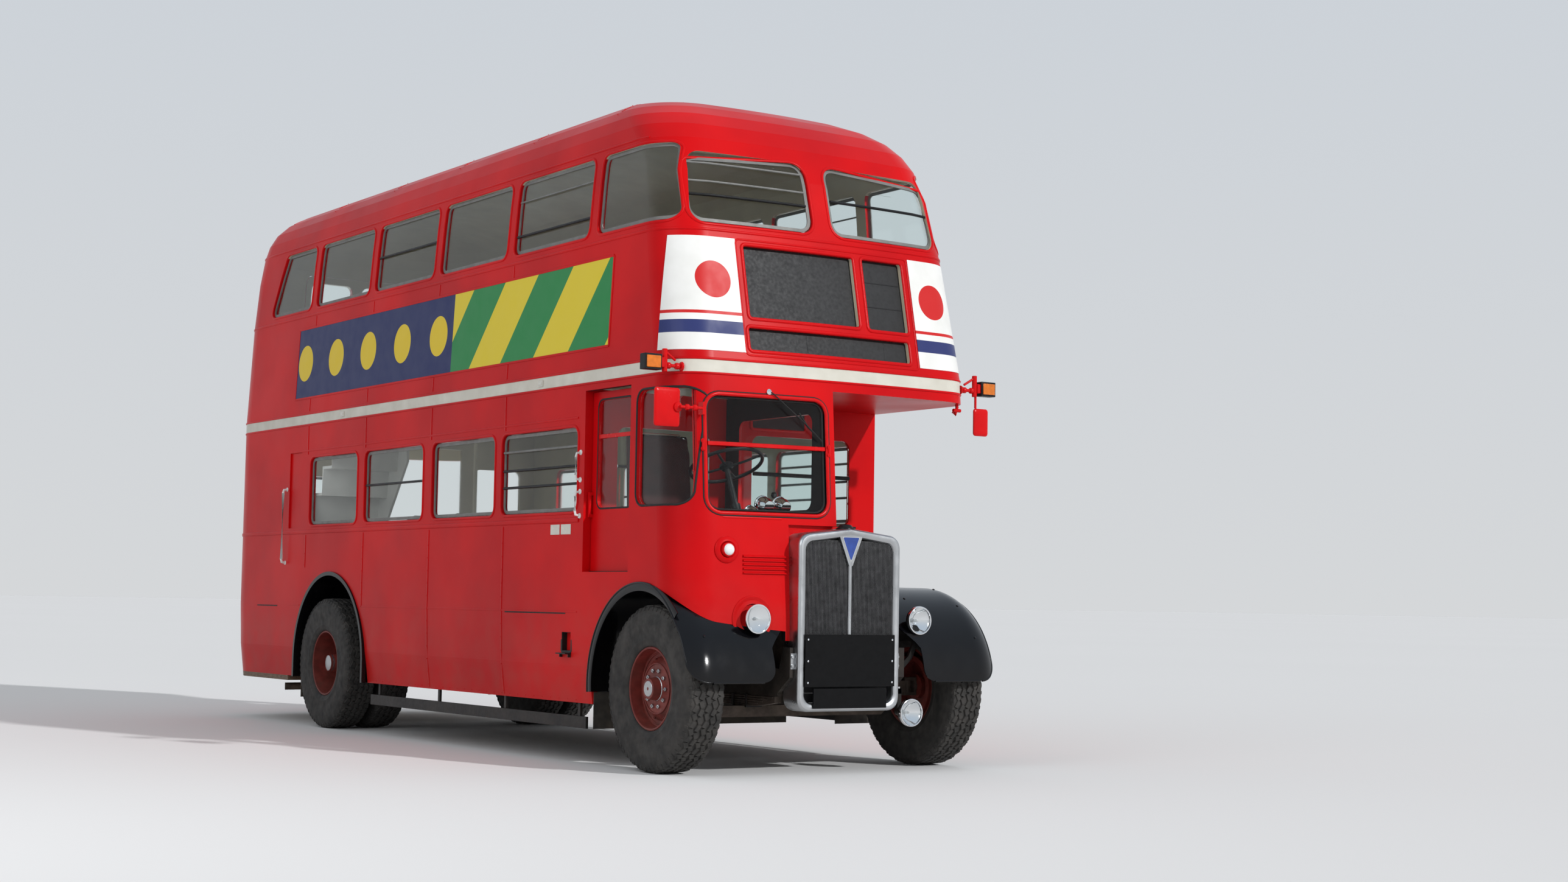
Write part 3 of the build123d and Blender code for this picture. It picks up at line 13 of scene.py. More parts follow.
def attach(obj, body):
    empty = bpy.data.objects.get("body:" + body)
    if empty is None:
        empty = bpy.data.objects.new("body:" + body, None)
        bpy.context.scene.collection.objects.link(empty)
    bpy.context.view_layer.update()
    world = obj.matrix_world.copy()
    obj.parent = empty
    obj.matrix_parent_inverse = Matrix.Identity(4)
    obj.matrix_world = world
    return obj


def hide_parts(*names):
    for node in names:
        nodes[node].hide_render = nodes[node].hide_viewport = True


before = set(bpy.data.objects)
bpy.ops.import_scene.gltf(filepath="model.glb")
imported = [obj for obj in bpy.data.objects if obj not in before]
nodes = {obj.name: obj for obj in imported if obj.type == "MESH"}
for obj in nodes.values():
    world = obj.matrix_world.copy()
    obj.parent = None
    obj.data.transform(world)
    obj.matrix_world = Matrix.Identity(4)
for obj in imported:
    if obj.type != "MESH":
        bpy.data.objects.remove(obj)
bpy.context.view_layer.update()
link_object = bpy.context.scene.collection.objects.link

# Body measures, in metres
FRONT_AXLE_Y = -3.33
REAR_AXLE_Y = 1.648
HUB_Z = 0.508
LOWER_WINDOWS = ((-2.47, -1.41), (-1.3, -0.31), (-0.15, 0.89), (1.035, 1.97))
LOWER_Z = (1.6, 2.14)
UPPER_WINDOWS = ((-2.475, -1.423), (-1.313, -0.261), (-0.151, 0.901), (1.011, 2.063))
UPPER_Z = (3.372, 3.885)
FRONT_UPPER = ((-0.945, -0.07), (0.07, 0.945))
FRONT_UPPER_Z = (3.36, 3.83)
SEAM_Y = (-1.445, -0.275, 0.897, 2.04)
ROOF_SEAM_Y = (-2.53, -1.368, -0.206, 0.956, 2.118)
RADIATOR_X = -0.02
PLATFORM = 0.385
LOWER_FLOOR = 0.7
UPPER_FLOOR = 2.49
CAB_FLOOR = 1.18
OFFSIDE = -1
NEARSIDE = 1
SIDES = ((OFFSIDE, "offside"), (NEARSIDE, "nearside"))
BOTH = (OFFSIDE, NEARSIDE)
FRONT = -1
REAR = 1
FORWARD = (0, -1, 0)
UP = (0, 0, 1)
EAST = (1, 0, 0)

# Camera and studio
CAMERA_PLACE = (-8.0301, -15.0389, 1.0445)
CAMERA_TURN = (33.9934, 4.1118, 0.8909)
CAMERA_LENS = 51.351
FLOOR_REACH = 400


def look():
    """The camera at the photograph's place; its turn is azimuth, elevation and roll in degrees."""
    azimuth, elevation, roll = (radians(angle) for angle in CAMERA_TURN)
    level = cos(elevation)
    ahead = Vector((sin(azimuth) * level, cos(azimuth) * level, sin(elevation)))
    right = Vector((cos(azimuth), -sin(azimuth), 0))
    up = right.cross(ahead)
    across = cos(roll) * right + sin(roll) * up
    top = cos(roll) * up - sin(roll) * right
    camera = bpy.data.objects.new("camera", bpy.data.cameras.new("camera"))
    link_object(camera)
    camera.data.lens = CAMERA_LENS
    camera.data.sensor_width = 36
    camera.data.clip_end = 1000
    turn = Matrix((across, top, -ahead)).transposed().to_4x4()
    camera.matrix_world = Matrix.Translation(CAMERA_PLACE) @ turn
    bpy.context.scene.camera = camera


def lamp_at(name, kind, place, aim, energy, size):
    """A studio lamp at place, aimed at a point."""
    light = bpy.data.lights.new(name, kind)
    light.energy = energy
    setattr(light, "angle" if kind == "SUN" else "size", size)
    holder = bpy.data.objects.new(name, light)
    link_object(holder)
    holder.location = place
    holder.rotation_euler = (Vector(aim) - Vector(place)).to_track_quat("-Z", "Y").to_euler()


def studio():
    """Pale world, a sun on the front and a soft lamp for the offside."""
    world = bpy.data.worlds.new("studio")
    bpy.context.scene.world = world
    world.use_nodes = True
    tree = world.node_tree
    tree.nodes.clear()
    new = tree.nodes.new
    link = tree.links.new
    soft = new("ShaderNodeBackground")
    soft.inputs["Color"].default_value = (0.93, 0.96, 1.0, 1)
    soft.inputs["Strength"].default_value = 0.56
    pale = new("ShaderNodeBackground")
    parts = new("ShaderNodeSeparateXYZ")
    link(new("ShaderNodeTexCoord").outputs["Generated"], parts.inputs[0])
    sky = new("ShaderNodeValToRGB")
    for stop, place, colour in zip(sky.color_ramp.elements, (0.0, 0.75),
                                   ((0.665, 0.68, 0.695, 1), (0.5, 0.58, 0.68, 1))):
        stop.position = place
        stop.color = colour
    link(parts.outputs["Z"], sky.inputs["Fac"])
    link(sky.outputs["Color"], pale.inputs["Color"])
    path = new("ShaderNodeLightPath")
    seen = path.outputs["Is Camera Ray"]
    for kind in ("Is Glossy Ray", "Is Transmission Ray"):
        either = new("ShaderNodeMath")
        either.operation = "MAXIMUM"
        link(seen, either.inputs[0])
        link(path.outputs[kind], either.inputs[1])
        seen = either.outputs[0]
    mix = new("ShaderNodeMixShader")
    for source, target in zip((seen, soft.outputs[0], pale.outputs[0]), mix.inputs):
        link(source, target)
    link(mix.outputs[0], new("ShaderNodeOutputWorld").inputs["Surface"])
    lamp_at("sun", "SUN", (4.0, -12.0, 8.0), (0, 0, 1.5), 2.3, 0.03)
    lamp_at("offside_fill", "AREA", (-9.0, -6.0, 6.0), (-1.0, 0.0, 2.0), 170, 5.0)
    bpy.context.scene.view_settings.view_transform = "Standard"


# Finishes
class Finish:
    """A Principled surface with its textures on Object coordinates, and its repaint slot."""

    def __init__(self, name):
        self.material = bpy.data.materials.new(name)
        self.material.use_nodes = True
        self.tree = self.material.node_tree
        self.link = self.tree.links.new
        self.shader = self.tree.nodes["Principled BSDF"]
        self.place = self.node("ShaderNodeTexCoord").outputs["Object"]
        self.slot = None

    def node(self, kind, values=(), **settings):
        """A node with its settings and the start values of its sockets."""
        made = self.tree.nodes.new(kind)
        for key, value in settings.items():
            setattr(made, key, value)
        for socket, value in values:
            made.inputs[socket].default_value = value
        return made

    def set(self, **sockets):
        for name, value in sockets.items():
            self.shader.inputs[name.replace("_", " ")].default_value = value

    def noise(self, scale, detail=3.0, stretch=None):
        """Noise at a scale per metre, stretched along an axis if asked."""
        made = self.node("ShaderNodeTexNoise", (("Scale", scale), ("Detail", detail)))
        source = self.place
        if stretch:
            mapping = self.node("ShaderNodeMapping", (("Scale", stretch),))
            self.link(source, mapping.inputs["Vector"])
            source = mapping.outputs["Vector"]
        self.link(source, made.inputs["Vector"])
        return made.outputs["Fac"]

    def spread(self, value, low, high, to_low=0.0, to_high=1.0):
        made = self.node("ShaderNodeMapRange", (("From Min", low), ("From Max", high),
                                                ("To Min", to_low), ("To Max", to_high)))
        self.link(value, made.inputs["Value"])
        return made.outputs["Result"]

    def math(self, kind, first, second=0.0):
        made = self.node("ShaderNodeMath", operation=kind)
        for socket, value in zip(made.inputs, (first, second)):
            if isinstance(value, (int, float)):
                socket.default_value = value
            else:
                self.link(value, socket)
        return made.outputs[0]

    def blend(self, share, first, second):
        """Colour mix; each side is a colour or a socket."""
        made = self.node("ShaderNodeMix", data_type="RGBA")
        self.link(share, made.inputs["Factor"])
        for index, value in ((6, first), (7, second)):
            if isinstance(value, tuple):
                made.inputs[index].default_value = (*value, 1)
            else:
                self.link(value, made.inputs[index])
        return made.outputs[2]

    def cloudy(self, scale, first, second, low=0.35, high=0.65):
        """Two colours in clouds."""
        return self.blend(self.spread(self.noise(scale), low, high), first, second)

    def between(self, value, low, high):
        """1 where a value lies between two limits."""
        return self.math("MULTIPLY", self.math("GREATER_THAN", value, low),
                         self.math("LESS_THAN", value, high))

    def disc(self, first, second, reach):
        """1 where two distances from a middle lie in a disc."""
        square = self.math("ADD", self.math("MULTIPLY", first, first),
                           self.math("MULTIPLY", second, second))
        return self.math("LESS_THAN", square, reach)

    def axis(self, name):
        parts = self.node("ShaderNodeSeparateXYZ")
        self.link(self.place, parts.inputs[0])
        return parts.outputs[name]

    def colour(self, value):
        if isinstance(value, tuple):
            self.shader.inputs["Base Color"].default_value = (*value, 1)
        else:
            self.link(value, self.shader.inputs["Base Color"])

    def rough(self, scale, low, high):
        self.link(self.spread(self.noise(scale), 0.3, 0.7, low, high),
                  self.shader.inputs["Roughness"])

    def bump(self, height, strength, distance):
        made = self.node("ShaderNodeBump", (("Strength", strength), ("Distance", distance)))
        self.link(height, made.inputs["Height"])
        last = self.shader.inputs["Normal"]
        if last.links:
            self.link(last.links[0].from_socket, made.inputs["Normal"])
        self.link(made.outputs["Normal"], last)

    def dust(self, colour, top, amount):
        """Road dust that thins out towards top."""
        height = self.spread(self.axis("Z"), 0.1, top, amount, 0.0)
        patch = self.math("MULTIPLY", height, self.spread(self.noise(6.0), 0.35, 0.65, 0.2, 1.0))
        return self.blend(patch, colour, (0.16, 0.13, 0.1))


def plain(name, colour, darker=0.82, scale=9.0, rough=(0.3, 0.4), metal=0.0, coat=0.0,
          grain=(140.0, 0.12, 0.0004), dusty=0.0, dust_top=1.2, sheen=0.3):
    """A painted, cast or moulded finish: cloudy colour, worn gloss and fine grain."""
    made = Finish(name)
    shade = made.cloudy(scale, colour, tuple(c * darker for c in colour))
    if dusty:
        shade = made.dust(shade, dust_top, dusty)
    made.colour(shade)
    made.set(Metallic=metal, Coat_Weight=coat, Specular_IOR_Level=0.5 if metal > 0.5 else sheen)
    made.rough(scale * 3, *rough)
    made.bump(made.noise(grain[0]), grain[1], grain[2])
    return made


BRIGHT_RED = (0.6, 0.0035, 0.005)
OFF_WHITE = (0.64, 0.62, 0.55)
BAND_Z = (2.418, 2.493)
NAVY_FROM_Y = -0.55


def body_paint():
    """Gloss red with the off-white band between the decks, and panels that wave a little."""
    made = Finish("gloss_red_body_paint")
    red = made.dust(made.cloudy(1.3, BRIGHT_RED, (0.47, 0.003, 0.0055)), 1.25, 0.22)
    band = made.between(made.axis("Z"), *BAND_Z)
    made.colour(made.blend(band, red, made.cloudy(7.0, OFF_WHITE, (0.55, 0.53, 0.46), 0.3, 0.7)))
    made.set(Coat_Weight=0.03, Coat_Roughness=0.24, Specular_IOR_Level=0.08)
    made.rough(2.0, 0.28, 0.38)
    made.bump(made.noise(1.7, 1.0), 0.35, 0.01)
    made.bump(made.noise(260.0), 0.05, 0.0003)
    return made


def glass(name, tint):
    """Clear glass with a trace of dirt in its gloss."""
    made = Finish(name)
    made.colour(tint)
    made.set(Transmission_Weight=1.0, IOR=1.22)
    made.rough(3.0, 0.01, 0.04)
    made.bump(made.noise(2.2, 1.0), 0.06, 0.002)
    return made


def cloth():
    """Woven seat cloth with a small check and a soft sheen."""
    made = Finish("seat_moquette")
    check = made.node("ShaderNodeTexChecker", (("Scale", 26.0), ("Color1", (0.16, 0.025, 0.02, 1)),
                                               ("Color2", (0.05, 0.07, 0.03, 1))))
    made.link(made.place, check.inputs["Vector"])
    made.colour(made.cloudy(60.0, check.outputs["Color"], (0.22, 0.13, 0.06), 0.4, 0.6))
    made.set(Sheen_Weight=0.25, Sheen_Roughness=0.5, Specular_IOR_Level=0.2)
    made.rough(40.0, 0.8, 0.95)
    made.bump(made.noise(420.0), 0.3, 0.0008)
    return made


def boards():
    """Worn floor boards, darker between the planks."""
    made = Finish("worn_floor_boards")
    grain = made.noise(30.0, 4.0, (6.0, 0.6, 6.0))
    made.colour(made.blend(made.spread(grain, 0.35, 0.65), (0.2, 0.13, 0.08), (0.1, 0.065, 0.04)))
    made.rough(20.0, 0.5, 0.7)
    made.bump(grain, 0.3, 0.002)
    return made


def rubber():
    """Tyre rubber, cloudy grey."""
    made = Finish("tyre_rubber_worn")
    made.colour(made.cloudy(14.0, (0.022, 0.021, 0.02), (0.05, 0.046, 0.042), 0.3, 0.7))
    made.set(Specular_IOR_Level=0.3)
    made.rough(25.0, 0.62, 0.82)
    made.bump(made.noise(90.0), 0.25, 0.0012)
    return made


def stripes():
    """Side panel artwork: broad slanted bands behind, and a navy field with a row of discs."""
    made = Finish("side_panel_artwork")
    along = made.axis("Y")
    height = made.axis("Z")
    slant = made.math("ADD", made.math("MULTIPLY", along, 1.15), height)
    band = made.math("GREATER_THAN", made.math("FRACT", made.math("MULTIPLY", slant, 0.9)), 0.5)
    ground = made.blend(band, (0.7, 0.55, 0.03), (0.02, 0.22, 0.06))
    cell = made.math("SUBTRACT", made.math("FRACT", made.math("MULTIPLY", along, 1.6)), 0.5)
    rise = made.math("MULTIPLY", made.math("SUBTRACT", height, 2.92), 1.6)
    field = made.blend(made.disc(cell, rise, 0.055), (0.012, 0.02, 0.1), (0.72, 0.52, 0.02))
    made.colour(made.blend(made.math("LESS_THAN", along, NAVY_FROM_Y), field, ground))
    made.set(Coat_Weight=0.05, Specular_IOR_Level=0.15)
    made.rough(8.0, 0.28, 0.42)
    made.bump(made.noise(3.0, 1.0), 0.2, 0.004)
    return made


def poster():
    """Front poster: white paper with plain red and navy shapes."""
    made = Finish("poster_print")
    height = made.axis("Z")
    from_x = made.math("SUBTRACT", made.math("ABSOLUTE", made.axis("X")), 0.84)
    disc = made.disc(from_x, made.math("SUBTRACT", height, 3.0), 0.0135)
    shade = made.cloudy(5.0, (0.8, 0.8, 0.78), (0.72, 0.72, 0.69), 0.3, 0.7)
    for share, colour in ((made.between(height, 2.66, 2.74), (0.03, 0.04, 0.14)),
                          (made.between(height, 2.78, 2.8), (0.55, 0.02, 0.02)),
                          (disc, (0.55, 0.02, 0.02))):
        shade = made.blend(share, shade, colour)
    made.colour(shade)
    made.set(Coat_Weight=0.05, Specular_IOR_Level=0.15)
    made.rough(8.0, 0.3, 0.45)
    return made


look()
studio()
paint = SimpleNamespace(
    body=body_paint(),
    trim=plain("gloss_red_trim", BRIGHT_RED, 0.86, 5.0, (0.18, 0.28), coat=0.05, sheen=0.15),
    off_white=plain("off_white_paint", OFF_WHITE, 0.88, 6.0, (0.2, 0.3), coat=0.5),
    cream=plain("cream_lining", (0.62, 0.57, 0.42), 0.9, 4.0, (0.35, 0.5)),
    stair=plain("white_stair_panel", (0.66, 0.66, 0.62), 0.88, 5.0, (0.3, 0.45)),
    wing=plain("black_wing_gloss", (0.003, 0.003, 0.004), 0.7, 3.0, (0.1, 0.18), coat=0.1,
               grain=(2.5, 0.3, 0.004), dusty=0.06, dust_top=0.8, sheen=0.25),
    black=plain("black_fittings", (0.01, 0.01, 0.011), 0.7, 12.0, (0.3, 0.45), dusty=0.15, sheen=0.2),
    chassis=plain("chassis_black", (0.022, 0.018, 0.016), 0.6, 9.0, (0.5, 0.75),
                  grain=(90.0, 0.4, 0.002), dusty=0.4, dust_top=0.9, sheen=0.2),
    iron=plain("oily_cast_iron", (0.1, 0.075, 0.062), 0.5, 11.0, (0.45, 0.75), metal=0.4,
               grain=(120.0, 0.5, 0.002), dusty=0.5, dust_top=0.9),
    wheel=plain("brown_red_wheel_paint", (0.2, 0.028, 0.022), 0.62, 14.0, (0.35, 0.55),
                grain=(80.0, 0.2, 0.001), dusty=0.3, dust_top=0.9),
    silver=plain("polished_radiator_metal", (0.5, 0.51, 0.52), 0.85, 4.0, (0.26, 0.4), metal=1.0,
                 grain=(300.0, 0.05, 0.0002)),
    chrome=plain("bright_chrome", (0.83, 0.84, 0.85), 0.95, 8.0, (0.04, 0.1), metal=1.0,
                 grain=(200.0, 0.02, 0.0001)),
    pan=plain("grey_window_pan", (0.2, 0.2, 0.19), 0.8, 12.0, (0.4, 0.55), metal=0.2),
    gasket=plain("black_gasket", (0.012, 0.012, 0.012), 0.8, 20.0, (0.5, 0.65)),
    blind=plain("blind_cloth", (0.012, 0.012, 0.013), 0.7, 16.0, (0.45, 0.6), grain=(500.0, 0.3, 0.0008)),
    slats=plain("radiator_slat_grey", (0.085, 0.085, 0.088), 0.6, 24.0, (0.4, 0.6)),
    core=plain("radiator_core_black", (0.02, 0.02, 0.021), 0.6, 24.0, (0.5, 0.7)),
    flap=plain("flap_rubber_dusty", (0.02, 0.019, 0.018), 0.7, 10.0, (0.7, 0.85), dusty=0.5,
               grain=(60.0, 0.3, 0.002)),
    leather=plain("dark_seat_back", (0.05, 0.012, 0.012), 0.7, 12.0, (0.5, 0.7),
                  grain=(30.0, 0.05, 0.001), sheen=0.12),
    pipe=plain("sooty_pipe", (0.09, 0.06, 0.045), 0.5, 10.0, (0.6, 0.8), metal=0.5,
               grain=(70.0, 0.5, 0.002), dusty=0.4),
    panes=glass("window_pane_glass", (0.9, 0.95, 0.94)),
    lens=glass("lamp_lens_glass", (0.96, 0.97, 0.97)),
    mirror=plain("mirror_silver", (0.88, 0.89, 0.9), 0.98, 3.0, (0.01, 0.03), metal=1.0),
    amber=plain("amber_lens_plastic", (0.9, 0.22, 0.01), 0.8, 30.0, (0.15, 0.25), coat=0.5),
    red_lens=plain("red_lens_plastic", (0.45, 0.01, 0.01), 0.8, 30.0, (0.1, 0.2), coat=0.5),
    white_lens=plain("frosted_white_lens", (0.8, 0.82, 0.82), 0.92, 20.0, (0.15, 0.25), coat=0.4),
    enamel=plain("blue_enamel", (0.02, 0.06, 0.3), 0.8, 30.0, (0.08, 0.14), coat=0.8),
    plate=plain("black_blank_plate", (0.004, 0.004, 0.0045), 0.8, 14.0, (0.3, 0.4), sheen=0.12),
    grab=plain("white_grab_rail", (0.74, 0.74, 0.72), 0.9, 20.0, (0.2, 0.3), coat=0.5),
    cloth=cloth(),
    boards=boards(),
    rubber=rubber(),
    artwork=stripes(),
    poster=poster(),
)
paint.amber.set(Transmission_Weight=0.25)
for slot, finishes in (("red_paint", (paint.body, paint.trim)),
                       ("cream_paint", (paint.grab, paint.poster, paint.artwork)),
                       ("black_paint", (paint.black, paint.slats, paint.core, paint.wing)),
                       ("polished_metal", (paint.silver, paint.chrome)),
                       ("seat_cloth", (paint.leather, paint.cloth)), ("lamp_chrome", (paint.white_lens,)),
                       ("tyre_rubber", (paint.rubber,)), ("wheel_paint", (paint.wheel,)),
                       ("cast_metal", (paint.pan,)), ("flap_rubber", (paint.gasket,)),
                       ("blind_black", (paint.blind,)), ("floor_boards", (paint.boards,)),
                       ("chassis_paint", (paint.iron,))):
    for finish in finishes:
        finish.slot = slot


# Mesh helpers
def circle(count, radius=1.0):
    """Pairs (cosine, sine) round a circle."""
    turns = [2 * pi * k / count for k in range(count)]
    return [(radius * cos(turn), radius * sin(turn)) for turn in turns]


def run(start, end, count):
    """Numbers from start to end in count equal steps."""
    return [start + (end - start) * k / count for k in range(count + 1)]


class Shape:
    """Points and faces of one piece, with a finish number for each face."""

    def __init__(self):
        self.points = []
        self.faces = []
        self.finish = []

    def face(self, corners, finish=0):
        start = len(self.points)
        self.points.extend(tuple(c) for c in corners)
        self.faces.append(tuple(range(start, start + len(corners))))
        self.finish.append(finish)

    def grid(self, rows, finish=0, close_rows=False, close_columns=False):
        """Quads between rows of equal length."""
        start = len(self.points)
        count = len(rows[0])
        for row in rows:
            self.points.extend(tuple(p) for p in row)
        for i in range(len(rows) if close_rows else len(rows) - 1):
            here = start + i * count
            after = start + (i + 1) % len(rows) * count
            for j in range(count if close_columns else count - 1):
                k = (j + 1) % count
                self.faces.append((here + j, here + k, after + k, after + j))
                self.finish.append(finish)

    def solid(self, rows, finish=0):
        """A closed form: a grid of closed rows with both ends filled."""
        self.grid(rows, finish, close_columns=True)
        self.face(rows[0][::-1], finish)
        self.face(rows[-1], finish)

    def box(self, one, other, finish=0):
        """A box between two opposite corners."""
        low, high = zip(*(sorted(pair) for pair in zip(one, other)))
        corners = [Vector((x, y, z)) for x in (low[0], high[0]) for y in (low[1], high[1])
                   for z in (low[2], high[2])]
        for quad in ((0, 1, 3, 2), (4, 6, 7, 5), (0, 4, 5, 1), (2, 3, 7, 6), (0, 2, 6, 4), (1, 5, 7, 3)):
            self.face([corners[i] for i in quad], finish)

    def boxes(self, at, rows, side=1):
        """Boxes given as x, x, y, y, z, z and finish from a place; side -1 mirrors x."""
        for x0, x1, y0, y1, z0, z1, finish in rows:
            self.box((side * (at[0] + x0), at[1] + y0, at[2] + z0),
                     (side * (at[0] + x1), at[1] + y1, at[2] + z1), finish)

    def sweep(self, path, profile, finish=0, closed=False):
        """Profile points (across, outwards) carried along (point, outward direction) pairs."""
        rows = []
        path = [place for place in path if place]
        count = len(path)
        for i, (point, out) in enumerate(path):
            after = path[(i + 1) % count][0] if closed or i + 1 < count else point
            before = path[i - 1][0] if closed or i > 0 else point
            ahead = (Vector(after) - Vector(before)).normalized()
            across = ahead.cross(Vector(out)).normalized()
            rise = across.cross(ahead)
            rows.append([Vector(point) + a * across + b * rise for a, b in profile])
        if closed:
            self.grid(rows, finish, close_rows=True, close_columns=True)
        else:
            self.solid(rows, finish)

    def tube(self, points, radius, finish=0, sides=10):
        """Round bar through points."""
        way = (Vector(points[1]) - Vector(points[0])).normalized()
        side = UP if abs(way.z) < 0.9 else (0, 1, 0)
        self.sweep([(p, side) for p in points], circle(sides, radius), finish)

    def turned(self, profile, centre, axis, steps=32, finish=0, closed=False):
        """Profile points (along, radius) turned about an axis; an open profile ends on the axis."""
        axis = Vector(axis).normalized()
        side = axis.orthogonal().normalized()
        other = axis.cross(side)
        rows = []
        for along, radius in profile:
            middle = Vector(centre) + along * axis
            rows.append([middle + radius * (c * side + s * other) for c, s in circle(steps)])
        self.grid(rows, finish, close_rows=closed, close_columns=True)

    def collar(self, end, middle, centre, axis):
        """A ring of 16 faces round an arm, thicker in its middle."""
        self.turned([(-0.016, 0.001), (-0.016, end), (-0.008, middle), (0.008, middle), (0.016, end),
                     (0.016, 0.001)], centre, axis, 16)

    def plate(self, rows, thickness):
        """A thin closed sheet laid on a surface: rows of (point, outward direction)."""
        top = [[p + thickness * n for p, n in row] for row in rows]
        low = [[p - 0.001 * n for p, n in row] for row in rows]
        self.grid(top)
        self.grid([row[::-1] for row in low])
        edges = [r[0] + [q[-1] for q in r[1:]] + r[-1][-2::-1] + [q[0] for q in r[-2:0:-1]]
                 for r in (low, top)]
        self.grid(edges, close_columns=True)


def cleaned(shape, name, degenerate=True):
    """The mesh of a shape: doubled points merged and faces turned outwards."""
    mesh = bpy.data.meshes.new(name)
    mesh.from_pydata(shape.points, [], shape.faces)
    mesh.polygons.foreach_set("material_index", shape.finish)
    work = bmesh.new()
    work.from_mesh(mesh)
    bmesh.ops.remove_doubles(work, verts=work.verts, dist=0.00002)
    if degenerate:
        bmesh.ops.dissolve_degenerate(work, dist=0.00002, edges=work.edges)
    bmesh.ops.recalc_face_normals(work, faces=work.faces)
    work.to_mesh(mesh)
    work.free()
    return mesh


def show(mesh, body, stands_for=()):
    """Links a mesh as an object that rides on a body."""
    made = bpy.data.objects.new(mesh.name, mesh)
    link_object(made)
    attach(made, body)
    if stands_for:
        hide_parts(*stands_for)
    return made


def settle(mesh, body, slot, stands_for=(), bevel=0.0, angle=35.0):
    """Shows a mesh smooth with sharp corners, and with rounded edges if asked."""
    mesh.polygons.foreach_set("use_smooth", [True] * len(mesh.polygons))
    mesh.set_sharp_from_angle(angle=radians(angle))
    made = show(mesh, body, stands_for)
    if bevel:
        rounding = made.modifiers.new("rounded_edges", "BEVEL")
        rounding.width = bevel
        rounding.segments = 2
        rounding.limit_method = "ANGLE"
        rounding.angle_limit = radians(40)
        rounding.harden_normals = False
    return made


def piece(shape, name, finishes, body="body", slot=None, **more):
    """Turns a shape into a finished object that rides on a body."""
    mesh = cleaned(shape, name)
    for finish in finishes:
        mesh.materials.append(finish.material)
    return settle(mesh, body, slot or finishes[0].slot, **more)


def rounded(corners, radius, steps=6):
    """Closed outline with round corners; radius is one number or one for each corner."""
    out = []
    count = len(corners)
    radii = radius if isinstance(radius, list) else [radius] * count
    for i in range(count):
        here = Vector(corners[i])
        before = Vector(corners[i - 1]) - here
        after = Vector(corners[(i + 1) % count]) - here
        back = min(radii[i] / tan(before.angle(after) / 2), before.length * 0.49, after.length * 0.49)
        start = here + before.normalized() * back
        end = here + after.normalized() * back
        middle = here * 0.8 + (start + end) * 0.1
        for t in run(0, 1, steps):
            out.append(tuple((1 - t) ** 2 * start + 2 * t * (1 - t) * middle + t ** 2 * end))
    return out


def window_outline(y, z, radius, grow=0.0, lean=(0.0, 0.0), drop=(0.0, 0.0)):
    """Outline of an opening, with a point every 5 cm; positive grow is outside it."""
    corners = [(y[0] - grow, z[0] - grow), (y[1] + grow, z[0] - grow),
               (y[1] + grow + lean[1], z[1] + grow - drop[1]),
               (y[0] - grow + lean[0], z[1] + grow - drop[0])]
    corners = [Vector(p) for p in rounded(corners, max(0.012, radius + grow))]
    out = []
    for here, after in zip(corners, corners[1:] + corners[:1]):
        parts = max(1, int((after - here).length / 0.05))
        out += [tuple(here.lerp(after, k / parts)) for k in range(parts)]
    return out


# The body's outer skin and its glass, to lay trim on
def tree_of(names):
    points = []
    faces = []
    for name in names:
        mesh = nodes[name].data
        start = len(points)
        points.extend(v.co for v in mesh.vertices)
        faces.extend([start + i for i in p.vertices] for p in mesh.polygons)
    return BVHTree.FromPolygons(points, faces)


WALLS = ("lower_wall_offside", "lower_wall_nearside", "rear_lower_panel", "upper_front",
         "upper_wall_offside", "upper_wall_nearside", "upper_rear", "roof_front", "roof_centre",
         "roof_rear")
PANES = ("glazing_lower", "glazing_upper", "cab_door_glass", "emergency_door_glass")
skin = tree_of(("cab_shell", "emergency_door", "front_bulkhead") + WALLS)
panes = tree_of(PANES)
REACH = 1.3
CORNER = {FRONT: (0.8, -3.25), REAR: (0.62, 3.35)}


def cast(tree, start, way):
    """First point of a tree from start, with the surface's outward direction."""
    hit, normal, _, _ = tree.ray_cast(Vector(start), Vector(way), REACH)
    if hit is None:
        return None
    return hit, -normal if normal.dot(Vector(way)) > 0 else normal


def on_side(side, y, z, tree=skin):
    return cast(tree, (side * 1.6, y, z), (-side, 0, 0))


def on_front(x, z, tree=skin):
    return cast(tree, (x, -4.4, z), (0, 1, 0))


def on_rear(x, z, tree=skin):
    return cast(tree, (x, 4.4, z), (0, -1, 0))


def on_roof(x, y):
    return cast(skin, (x, y, 4.8), (0, 0, -1))


def on_corner(side, end, z, degrees):
    """The skin round a corner of the body, at degrees from the middle line of that end."""
    turn = radians(degrees)
    way = Vector((side * sin(turn), end * cos(turn), 0))
    return cast(skin, Vector((side * CORNER[end][0], CORNER[end][1], z)) + way * 1.2, -way)


def hoop(z, side, parts="front side rear"):
    """Points round one side of the body at a height: parts names front, side and rear runs."""
    turns = [90 * step / 16 for step in range(1, 16)]
    out = []
    if "front" in parts:
        out += [on_front(side * x / 20, z) for x in range(17)]
        out += [on_corner(side, FRONT, z, turn) for turn in turns]
    if "side" in parts:
        out += [on_side(side, -3.2 + 0.1 * k, z) for k in range(65)]
    if "rear" in parts:
        out += [on_corner(side, REAR, z, turn) for turn in turns[::-1]]
        out += [on_rear(side * x / 20, z) for x in range(12, -1, -1)]
    return [p for p in out if p]


def half_round(width, height):
    """Section of a raised bead."""
    arc = [(width / 2 * cos(pi * k / 6), height * sin(pi * k / 6)) for k in range(7)]
    return arc + [(-width / 2, -0.002), (width / 2, -0.002)]


